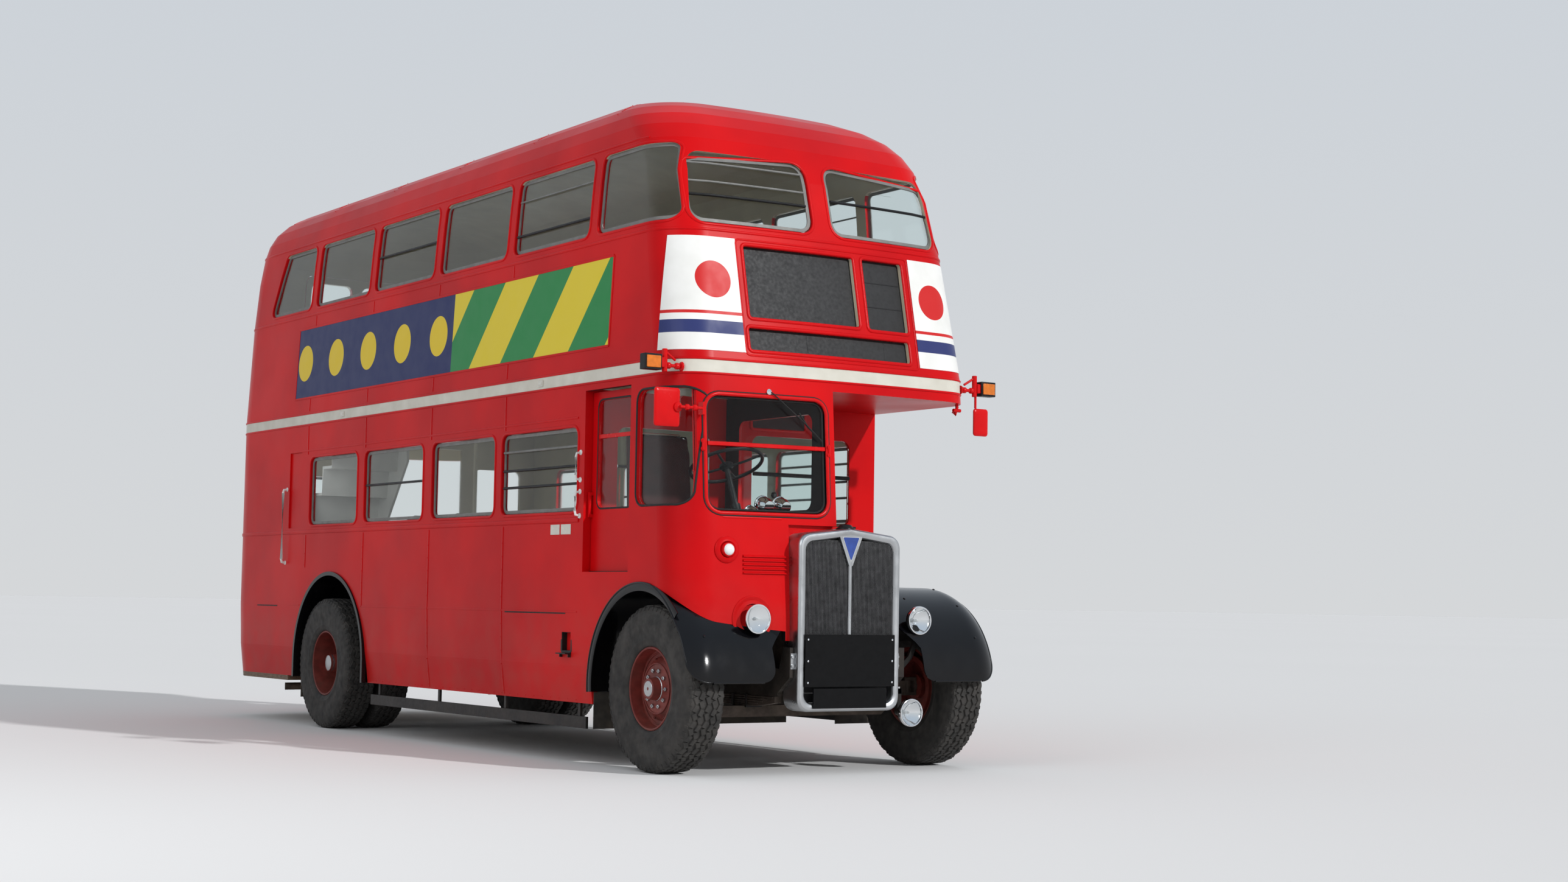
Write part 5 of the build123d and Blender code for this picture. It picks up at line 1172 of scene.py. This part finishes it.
# Mirrors: crowned backs, silvered faces and jointed arms
ARM_Y = -3.735
ARM_Z = 2.19
ARM_END_X = -1.15
mirrors = Shape()
for x, y, z in (((-1.305, -1.13), (-3.7, -3.682), (2.072, 2.304)),
                ((1.18, 1.3), (-3.61, -3.595), (2.15, 2.33))):
    outline = rounded([(x[0], z[0]), (x[1], z[0]), (x[1], z[1]), (x[0], z[1])], 0.018, 4)
    mid_x = (x[0] + x[1]) / 2
    mid_z = (z[0] + z[1]) / 2
    rows = [[(mid_x + (px - mid_x) * share, depth, mid_z + (pz - mid_z) * share) for px, pz in outline]
            for share, depth in ((0.0, y[0]), (0.5, y[0] + 0.0008), (0.8, y[0] + 0.0025),
                                 (0.95, y[0] + 0.005), (1.0, y[0] + 0.009), (1.0, y[1]), (0.93, y[1]),
                                 (0.93, y[1] - 0.002))]
    mirrors.grid(rows, 0, close_columns=True)
    mirrors.face(rows[-1], 1)
mirrors.tube([(-0.985, ARM_Y, ARM_Z), (-1.06, ARM_Y, ARM_Z), (ARM_END_X, ARM_Y, ARM_Z),
              (ARM_END_X, -3.695, ARM_Z)], 0.009, 0, 12)
for x in (-1.05, -1.105):
    mirrors.collar(0.012, 0.018, (x, ARM_Y, ARM_Z), EAST)
mirrors.turned([(-0.002, 0.001), (-0.002, 0.03), (0.008, 0.028), (0.016, 0.018), (0.02, 0.001)],
               (ARM_END_X, -3.701, ARM_Z), FORWARD, 20)
mirrors.box((-1.0, -3.744, 2.152), (-0.978, -3.69, 2.228), 0)
mirrors.tube([(1.197, -3.598, 2.33), (1.197, -3.598, 2.432)], 0.008, 0, 12)
piece(mirrors, "mirror_heads", [paint.trim, paint.mirror], stands_for=("mirrors",), bevel=0.0015)
bracket = Shape()
bracket.sweep([(place, (1, -0.4, 0)) for place in ((1.062, -3.56, 2.395), (1.07, -3.565, 2.33),
                                                   (1.056, -3.562, 2.285), (1.04, -3.558, 2.3))],
              [(-0.014, -0.008), (-0.014, 0.008), (0.014, 0.008), (0.014, -0.008)])
bracket.tube([(1.03, -3.575, 2.31), (1.09, -3.575, 2.31)], 0.012, 0, 12)
piece(bracket, "canopy_corner_bracket", [paint.trim], bevel=0.002)

# Tyres with treads; the section's columns are across and out from the hub
TYRE_SECTION = ((-0.1005, 0.2549), (-0.112, 0.262), (-0.118, 0.275), (-0.1195, 0.29), (-0.122, 0.294),
                (-0.1225, 0.3), (-0.121, 0.305), (-0.125, 0.35), (-0.1275, 0.389), (-0.1262, 0.42),
                (-0.124, 0.432), (-0.1248, 0.438), (-0.1225, 0.446), (-0.117, 0.474), (-0.1105, 0.49),
                (-0.104, 0.496), (-0.098, 0.4975), (0.0, 0.498))
TYRE_SECTION += tuple((-x, r) for x, r in TYRE_SECTION[-2::-1])
TREAD_PITCHES = 64
RIBS = (-0.082, -0.044, 0.0, 0.044, 0.082)
TREAD_BLOCK = block(0.045, 0.033, -0.009, 0.0, (0.92, 0.8))
SHOULDER_LUG = block(0.024, 0.028, -0.006, 0.0, (0.8, 0.8))


def dress_tyres(node, body, centres, axle_y):
    """Smooth tyre bodies with zigzag ribs and shoulder lugs."""
    walls = Shape()
    blocks = []
    lugs = []
    for x in centres:
        walls.turned(TYRE_SECTION, (x, axle_y, HUB_Z), EAST, 96, closed=True)
        for k in range(TREAD_PITCHES):
            skew = radians(24 if k % 2 else -24)
            for rib, across in enumerate(RIBS):
                turn = 2 * pi * (k + 0.5 * (rib % 2)) / TREAD_PITCHES
                out = Vector((0, cos(turn), sin(turn)))
                along = cos(skew) * Vector((0, -sin(turn), cos(turn))) + Vector((sin(skew), 0, 0))
                high = 0.5078 - 0.004 * (abs(across) / 0.1) ** 2
                blocks.append((Vector((x + across, axle_y, HUB_Z)) + out * high, out, along))
            turn = 2 * pi * (k + 0.5) / TREAD_PITCHES
            ray = Vector((0, cos(turn), sin(turn)))
            for side in BOTH:
                out = (ray * 0.45 + Vector((side, 0, 0))).normalized()
                lugs.append((Vector((x + side * 0.1165, axle_y, HUB_Z)) + ray * 0.484, out,
                             (0, -sin(turn), cos(turn))))
    piece(walls, node + "_walls", [paint.rubber], body, stands_for=(node,), angle=50)
    repeated(node + "_tread", TREAD_BLOCK, blocks, paint.rubber, body)
    repeated(node + "_lugs", SHOULDER_LUG, lugs, paint.rubber, body)


def dress_wheel(node, body, centre, out, rings, hub, nuts):
    """Rings (along, radius, thickness) and a hub cap on a wheel, and its circles of nuts."""
    cover(paint.wheel, node)
    shape = Shape()
    for along, radius, thick in rings:
        shape.turned([(along + a, radius + b) for a, b in circle(8, thick)], centre, out, 56, 0, True)
    shape.turned(hub, centre, out, 28, 1)
    piece(shape, node + "_rings", [paint.wheel, paint.silver], body, angle=40)
    for number, (radius, along, count, size, finish) in enumerate(nuts):
        places = [(Vector(centre) + Vector(out) * along + Vector((0, c, s)) * radius, out, (0, -s, c))
                  for c, s in circle(count)]
        repeated(node + "_nuts_%d" % number, NUT, places, finish, body, "cast_metal", size)


FRONT_HUB = ((0.05, 0.074), (0.064, 0.074), (0.07, 0.068), (0.074, 0.062), (0.11, 0.056),
             (0.121, 0.046), (0.121, 0.03), (0.1215, 0.001))
REAR_HUB = ((0.098, 0.074), (0.14, 0.068), (0.2, 0.066), (0.222, 0.06), (0.228, 0.04),
            (0.228, 0.001))
for side, word in SIDES:
    dress_tyres("tyre_front_" + word, "front_wheel_" + word, (side * 0.9775,), FRONT_AXLE_Y)
    dress_tyres("tyres_rear_" + word, "rear_wheels_" + word, (side * 1.002, side * 0.712), REAR_AXLE_Y)
for side, word in SIDES:
    out = (side, 0, 0)
    dress_wheel("wheel_front_" + word, "front_wheel_" + word, (side * 0.9775, FRONT_AXLE_Y, HUB_Z), out,
                ((0.1, 0.246, 0.007), (0.06, 0.152, 0.005), (0.03, 0.216, 0.004)), FRONT_HUB,
                ((0.112, 0.06, 10, 0.026, paint.silver), (0.184, 0.03, 10, 0.02, paint.wheel)))
    dress_wheel("wheel_rear_" + word, "rear_wheels_" + word, (side * 0.857, REAR_AXLE_Y, HUB_Z), out,
                ((0.245, 0.246, 0.007), (0.012, 0.16, 0.005), (0.014, 0.205, 0.005),
                 (0.016, 0.226, 0.004)), REAR_HUB,
                ((0.096, 0.103, 8, 0.022, paint.iron), (0.18, 0.012, 10, 0.024, paint.wheel)))

# Front wings: crowned sheet with rounded front corners, a turned edge and its bolts
WING_Y = -3.29
WING_Z = 0.52
WING_R = 0.63
WING_OUT = 1.147
WING_START = 4.0
WING_END = 185.3


def wing_point(side, x, degrees, depth=0.0):
    """A point of a wing's outer face; the crown falls away towards the outer edge."""
    free = 1.0 if side == NEARSIDE else min(1.0, max(0.0, (78 - degrees) / 34))
    fall = 0.05 * max(0.0, 1 - (WING_OUT - x) / 0.16) ** 2.4 * free
    radius = WING_R - fall - depth
    turn = radians(degrees)
    return Vector((side * x, WING_Y - radius * cos(turn), WING_Z + radius * sin(turn)))


def wing_span(degrees):
    """Inner and outer edge at an angle; both draw in round the front corners."""
    arc = (degrees - WING_START) * radians(1) * WING_R
    inner, outer = (0.56, WING_OUT)
    if arc < 0.13:
        outer -= 0.13 - sqrt(max(0.0, 0.13 ** 2 - (0.13 - arc) ** 2))
    if arc < 0.08:
        inner += 0.08 - sqrt(max(0.0, 0.08 ** 2 - (0.08 - arc) ** 2))
    elif arc > 0.22:
        inner -= min(0.129, (arc - 0.22) * 0.9)
    return inner, outer


wing_angles = [WING_START + 0.8 * k * k / 6 for k in range(13)]
wing_angles += run(wing_angles[-1], WING_END, 44)[1:]
WING_SHARES = [k / 10 * 0.7 for k in range(10)] + [0.7 + 0.3 * k / 10 for k in range(11)]
wings = Shape()
wing_places = []
for side in BOTH:
    rows = []
    for degrees in wing_angles:
        inner, outer = wing_span(degrees)
        across = [inner + (outer - inner) * share for share in WING_SHARES]
        rows.append([wing_point(side, x, degrees) for x in across]
                    + [wing_point(side, x, degrees, 0.006) for x in across[::-1]])
    wings.solid(rows)
    inner, outer = wing_span(WING_START)
    wings.sweep([(wing_point(side, wing_span(d)[1], d, 0.003), (side, 0, 0)) for d in wing_angles],
                circle(8, 0.0065))
    wings.sweep([(wing_point(side, inner + 0.01 * k, WING_START, 0.003), FORWARD)
                 for k in range(int((outer - inner) / 0.01))], circle(8, 0.0065))
    for x, angles in ((0.64, (35, 62, 90, 118)), (1.02, (30, 55, 80, 105, 130))):
        for degrees in angles:
            spot = wing_point(side, x, degrees)
            out = (spot - wing_point(side, x, degrees, 0.05)).normalized()
            wing_places.append((spot, out, EAST))
LIP = ((0.003, -0.052), (-0.004, -0.052), (-0.006, -0.044), (-0.006, -0.01), (-0.003, 0.001),
       (0.003, 0.001))
wings.solid([[(-1.143 + a, WING_Y - (WING_R + r) * cos(turn), WING_Z + (WING_R + r) * sin(turn))
              for a, r in LIP] for turn in map(radians, wing_angles[18:])])
piece(wings, "front_wing_sheets", [paint.wing], stands_for=("front_wings",), angle=50)
repeated("wing_bolts", RIVET, wing_places, paint.wing, size=0.018)

# Seats: sprung cushions and backs on dark frames with a grab rail
PITCH = 0.715
# Levels of a pad, columns: share of its width, height from its middle
PAD_LEVELS = ((0.0, 1.0), (0.35, 0.98), (0.65, 0.9), (0.86, 0.68), (0.96, 0.38), (1.0, 0.06),
              (0.985, 0.0), (1.0, -0.06), (0.97, -0.42), (0.9, -0.8), (0.6, -0.95), (0.0, -1.0))
PAD_CROWN = 0.018
# Outline of a seat back's board, columns: y, z
SEAT_BACK = ((0.455, 0.36), (0.48, 0.33), (0.512, 0.905), (0.5, 0.928), (0.478, 0.905))


def bowed(value):
    """Rounds a sine into a squarer one."""
    return copysign(abs(value) ** 0.28, value)


def pad(shape, low, high, lean=0.0):
    """Crowned pad with round corners and a pinched seam; lean moves its top to the rear."""
    middle = [(a + b) / 2 for a, b in zip(low, high)]
    half = [(b - a) / 2 for a, b in zip(low, high)]
    flat = half.index(min(half))
    first, second = [i for i in range(3) if i != flat]
    rows = []
    for share, lift in PAD_LEVELS:
        row = []
        for c, s in circle(56):
            across = bowed(c)
            up = bowed(s)
            pinch = 1.0 - 0.02 * (abs(across) ** 6 + abs(up) ** 6 - abs(across * up) ** 4) * 0.5
            point = [0.0, 0.0, 0.0]
            point[first] = middle[first] + half[first] * across * share * pinch
            point[second] = middle[second] + half[second] * up * share * pinch
            swell = (1 - (across * share) ** 2 * 0.5) * (1 - (up * share) ** 2 * 0.5)
            point[flat] = middle[flat] + (half[flat] - PAD_CROWN) * lift + PAD_CROWN * lift * swell
            point[1] += lean * (point[2] - low[2]) / (high[2] - low[2])
            row.append(point)
        rows.append(row)
    shape.grid(rows, close_columns=True)


def seat_row(pads, shape, x, y, floor):
    """Two pads, and a frame of legs, pan, back board and top rail."""
    low, high = sorted(x)
    pad(pads, (low, y, floor + 0.342), (high, y + 0.425, floor + 0.44))
    pad(pads, (low + 0.01, y + 0.385, floor + 0.425), (high - 0.01, y + 0.45, floor + 0.905), 0.045)
    shape.solid([[(edge, y + a, floor + b) for a, b in SEAT_BACK] for edge in (low + 0.012, high - 0.012)])
    shape.box((low + 0.02, y + 0.015, floor + 0.322), (high - 0.02, y + 0.47, floor + 0.345), 0)
    shape.tube([(x, y + a, floor + b) for x, a, b in (
        (low + 0.03, 0.493, 0.86), (low + 0.03, 0.497, 0.915), (low + 0.07, 0.497, 0.928),
        (high - 0.07, 0.497, 0.928), (high - 0.03, 0.497, 0.915), (high - 0.03, 0.493, 0.86))],
        0.0125, 1, 8)
    middle = (low + high) / 2
    for leg in (middle - 0.16, middle + 0.16):
        shape.tube([(leg, y + 0.25, floor + 0.002), (leg, y + 0.25, floor + 0.33)], 0.014, 1, 8)
    shape.box((middle - 0.2, y + 0.21, floor + 0.0005), (middle + 0.2, y + 0.29, floor + 0.012), 1)


lower_pads = Shape()
upper_pads = Shape()
driver_pads = Shape()
seat_frames = Shape()
for side, upper_rows in ((OFFSIDE, 6), (NEARSIDE, 8)):
    for row in range(4):
        seat_row(lower_pads, seat_frames, (side * 0.225, side * 1.083), -2.4 + row * PITCH, LOWER_FLOOR)
    low_x, high_x = sorted((side * 0.56, side * 1.075))
    for y in (1.155, 1.525):
        pad(lower_pads, (low_x, y, 1.226), (high_x, y + 0.365, 1.335))
    for row in range(upper_rows):
        seat_row(upper_pads, seat_frames, (side * 0.225, side * 1.035), -3.13 + row * PITCH, UPPER_FLOOR)
seat_row(driver_pads, seat_frames, (-0.86, -0.4), -3.09, CAB_FLOOR)
piece(seat_frames, "seat_frames", [paint.leather, paint.chrome], stands_for=("seats",))
for shape, name, finish in ((lower_pads, "lower_seat_pads", paint.cloth),
                            (upper_pads, "upper_seat_pads", paint.cloth),
                            (driver_pads, "driver_seat_pads", paint.leather)):
    piece(shape, name, [finish], angle=60)

# Steering wheel, column and instruments
steering = Shape()
WHEEL_CENTRE = Vector((-0.6, -3.39, 1.87))
COLUMN = Vector((0, 0.45, 1)).normalized()
hub_at = WHEEL_CENTRE + COLUMN * 0.012
flat = Vector(EAST)
steep = COLUMN.cross(flat)
rays = [c * flat + s * steep for c, s in circle(56)]
steering.sweep([(hub_at + 0.2285 * ray, ray) for ray in rays], circle(10, 0.0115), closed=True)
for ray in rays[7::14]:
    steering.tube([hub_at + ray * 0.03 - COLUMN * 0.012, hub_at + ray * 0.12 - COLUMN * 0.01,
                   hub_at + ray * 0.225], 0.008)
steering.turned([(-0.03, 0.001), (-0.03, 0.03), (-0.012, 0.046), (0.006, 0.042), (0.012, 0.03),
                 (0.014, 0.001)], hub_at, COLUMN, 28)
foot = WHEEL_CENTRE - COLUMN * ((WHEEL_CENTRE.z - CAB_FLOOR - 0.004) / COLUMN.z)
steering.tube([foot, WHEEL_CENTRE - COLUMN * 0.3], 0.021, 0, 14)
steering.tube([WHEEL_CENTRE - COLUMN * 0.3, WHEEL_CENTRE - COLUMN * 0.01], 0.017, 0, 14)
steering.turned([(-0.02, 0.001), (-0.02, 0.03), (0.02, 0.03), (0.02, 0.001)],
                WHEEL_CENTRE - COLUMN * 0.28, COLUMN, 18, 0)
piece(steering, "steering_wheel_rim", [paint.black], stands_for=("steering_wheel",))
DIAL_Y = -3.6
DIAL_LOOK = (0, 1, 0.25)
dials = Shape()
for x, z, r in ((-0.47, 1.64, 0.05), (-0.345, 1.64, 0.05), (-0.56, 1.6, 0.03)):
    dials.turned([(-0.08, 0.001), (-0.08, 0.7 * r), (-0.05, r * 0.95), (0.0, r * 0.95), (0.004, r * 1.05),
                  (0.012, r * 1.05), (0.014, r * 0.94), (0.008, r * 0.9)], (x, DIAL_Y, z), DIAL_LOOK, 28)
    dials.turned([(0.004, 0.001), (0.004, 0.92 * r), (0.008, 0.92 * r), (0.009, 0.001)],
                 (x, DIAL_Y, z), DIAL_LOOK, 24, 1)
for x in (-0.48, -0.35):
    dials.box((x - 0.01, -3.64, 1.479), (x + 0.01, -3.62, 1.61), 2)
dials.box((-0.59, -3.66, 1.479), (-0.27, -3.59, 1.5), 2)
dials.tube([(-0.3, -3.52, 1.48), (-0.3, -3.51, 1.64), (-0.295, -3.47, 1.7)], 0.009, 2)
dials.turned([(-0.02, 0.001), (-0.018, 0.014), (0.0, 0.02), (0.016, 0.014), (0.02, 0.001)],
             (-0.295, -3.465, 1.706), (0, 0.5, 1), 16, 2)
piece(dials, "cab_instruments", [paint.chrome, paint.plate, paint.black], slot="black_paint", bevel=0.001)

# Rails, slats, step strips and lights inside
rails = Shape()
for x in (-0.2, 0.2):
    rails.tube([(x, y, 2.395) for y in (-2.5, -1.0, 0.6, 2.36)], 0.013, 0)
rails.tube([(-0.88, -2.52, 1.9), (-0.22, -2.52, 1.9)], 0.012, 1)
rails.tube([(-0.88, -3.33, 3.3), (0.0, -3.38, 3.3), (0.88, -3.33, 3.3)], 0.014, 1)
rails.tube([(0.3, 3.87, 0.39), (0.3, 3.87, 2.28)], 0.0155, 0, 14)
piece(rails, "saloon_grab_rails", [paint.grab, paint.chrome])
POLE_AT = (0.72, 3.64)
pole = Shape()
grip = [(0.0, 0.001), (0.0, 0.028), (0.012, 0.026), (0.016, 0.0172)]
for k in range(60):
    low = 0.034 + 0.031 * k
    grip += [(low, 0.0172), (low + 0.02, 0.0172), (low + 0.024, 0.016), (low + 0.028, 0.016)]
pole.turned(grip + [(1.898, 0.001)], (*POLE_AT, 0.3856), UP, 16)
piece(pole, "platform_pole_grip", [paint.grab])

# Platform slats end where the floor's round rear corner begins
CORNER_X = 0.623
CORNER_Y = 3.43
CORNER_RADIUS = 0.48
SLAT_HALF = 0.015
SLAT_Z = (0.3856, 0.3916)
slats = Shape()
for step in range(26):
    x = -0.45 + 0.06 * step
    beyond = max(0.0, x + SLAT_HALF - CORNER_X)
    end = CORNER_Y + sqrt(CORNER_RADIUS ** 2 - beyond ** 2) - 0.045
    slats.box((x - SLAT_HALF, 2.455, SLAT_Z[0]), (x + SLAT_HALF, min(end, 3.855), SLAT_Z[1]))
piece(slats, "platform_slats", [paint.boards], bevel=0.002)
RISE = (UPPER_FLOOR - PLATFORM) / 10
GOING = 1.65 / 9
nosings = [((-0.8, 3.146 - step * GOING, PLATFORM + (step + 1) * RISE + 0.0005), UP, EAST)
           for step in range(9)]
repeated("stair_nosings", block(0.52, 0.036, 0, 0.004), nosings, paint.silver)
LIGHT = turned_fitting([(0.0, 0.001), (0.0, 0.5), (0.1, 0.5), (0.14, 0.44), (0.3, 0.36), (0.38, 0.2),
                        (0.4, 0.001)], 16)
spots = [(x, -2.0 + 0.95 * k, 2.4495) for k in range(5) for x in (-0.55, 0.55)] + [(0.55, 3.1, 2.4495)]
repeated("ceiling_lights", LIGHT, [(spot, (0, 0, -1), EAST) for spot in spots], paint.white_lens, size=0.11)
edge_strip = Shape()
edge_strip.box((1.062, 2.44, 0.385), (1.1, 3.44, 0.389))
edge_strip.box((0.262, 3.86, 0.385), (0.64, 3.896, 0.389))
piece(edge_strip, "platform_edge_strips", [paint.silver], bevel=0.001)

# Rear lights, blank plate and blind, and the exit handle
rear = Shape()
for x, z in ((-0.8, 1.3), (-0.66, 1.3), (0.98, 2.338)):
    spot = on_rear(x, z)
    if spot:
        rear.turned([(-0.004, 0.034), (-0.004, 0.05), (0.014, 0.048), (0.02, 0.042), (0.018, 0.036)],
                    *spot, 28, 0, closed=True)
        rear.turned([(-0.002, 0.001), (-0.002, 0.038), (0.016, 0.037), (0.026, 0.03), (0.032, 0.016),
                     (0.034, 0.001)], *spot, 24, 1)
wall = on_rear(-0.35, 1.12)[0].y
rear.boxes((0, wall, 0), ((-0.6, -0.11, -0.004, 0.014, 1.06, 1.185, 2),
                          (-0.585, -0.125, 0.01, 0.018, 1.072, 1.173, 3),
                          (-0.41, -0.3, -0.002, 0.026, 1.19, 1.222, 0)))
piece(rear, "rear_lamps_and_plate", [paint.chrome, paint.red_lens, paint.black, paint.plate],
      slot="lamp_chrome", bevel=0.002)
rear_blind = Shape()
rear_blind.plate([[on_rear(x, z) for x in run(-0.43, 0.43, 10)] for z in run(2.66, 2.96, 3)], 0.0012)
piece(rear_blind, "rear_blank_blind", [paint.blind], angle=50)
ring_piece("rear_blind_frame", paint.body, on_rear,
           [window_outline((-0.43, 0.43), (2.66, 2.96), 0.02, 0.01)], half_round(0.022, 0.008))
exit_handle = Shape()
spot = on_rear(0.0, 3.4)[0]
exit_handle.tube([spot + Vector((x, y, 0)) for x, y in ((-0.09, 0.004), (-0.07, 0.016), (0.07, 0.016),
                                                       (0.09, 0.004))], 0.007)
piece(exit_handle, "emergency_door_handle", [paint.chrome], "emergency_door")

# Bonnet handles and louvres
bonnet_trim = Shape()
for middle in (-3.36, -2.92):
    bonnet_trim.tube([(x, middle + dy, 1.215) for x, dy in ((0.351, -0.06), (0.362, -0.04),
                                                            (0.362, 0.04), (0.351, 0.06))], 0.006)
piece(bonnet_trim, "bonnet_handles", [paint.chrome], "bonnet")
louvres = [((0.35, -3.62 + 0.045 * k, 1.285), EAST, UP) for k in range(21)]
repeated("bonnet_louvres", block(0.13, 0.02, 0, 0.006), louvres, paint.body, "bonnet")

# Front springs: leaves and clips over the plain packs
leaves = Shape()
for side in BOTH:
    for level in range(5):
        half = 0.36 - 0.055 * level
        z = 0.469 - 0.0135 * level
        leaves.box((side * 0.335, FRONT_AXLE_Y - half, z - 0.0115),
                   (side * 0.433, FRONT_AXLE_Y + half, z - 0.0005), 0)
    for dy in (-0.075, 0.075):
        leaves.box((side * 0.325, FRONT_AXLE_Y + dy - 0.01, 0.392),
                   (side * 0.443, FRONT_AXLE_Y + dy + 0.01, 0.476), 1)
piece(leaves, "front_spring_leaves", [paint.iron, paint.black], bevel=0.002)

# Pale studio floor
ground = bpy.data.meshes.new("studio_floor")
ground.from_pydata([(x * FLOOR_REACH, y * FLOOR_REACH, 0) for x, y in ((-1, -1), (1, -1), (1, 1), (-1, 1))],
                   [], [(0, 1, 2, 3)])
paper = plain("studio_floor_paper", (0.8, 0.8, 0.8), 0.99, 0.05, (0.8, 0.82), grain=(8.0, 0.0, 0.001),
              sheen=0.05)
ground.materials.append(paper.material)
floor = bpy.data.objects.new("studio_floor", ground)
link_object(floor)
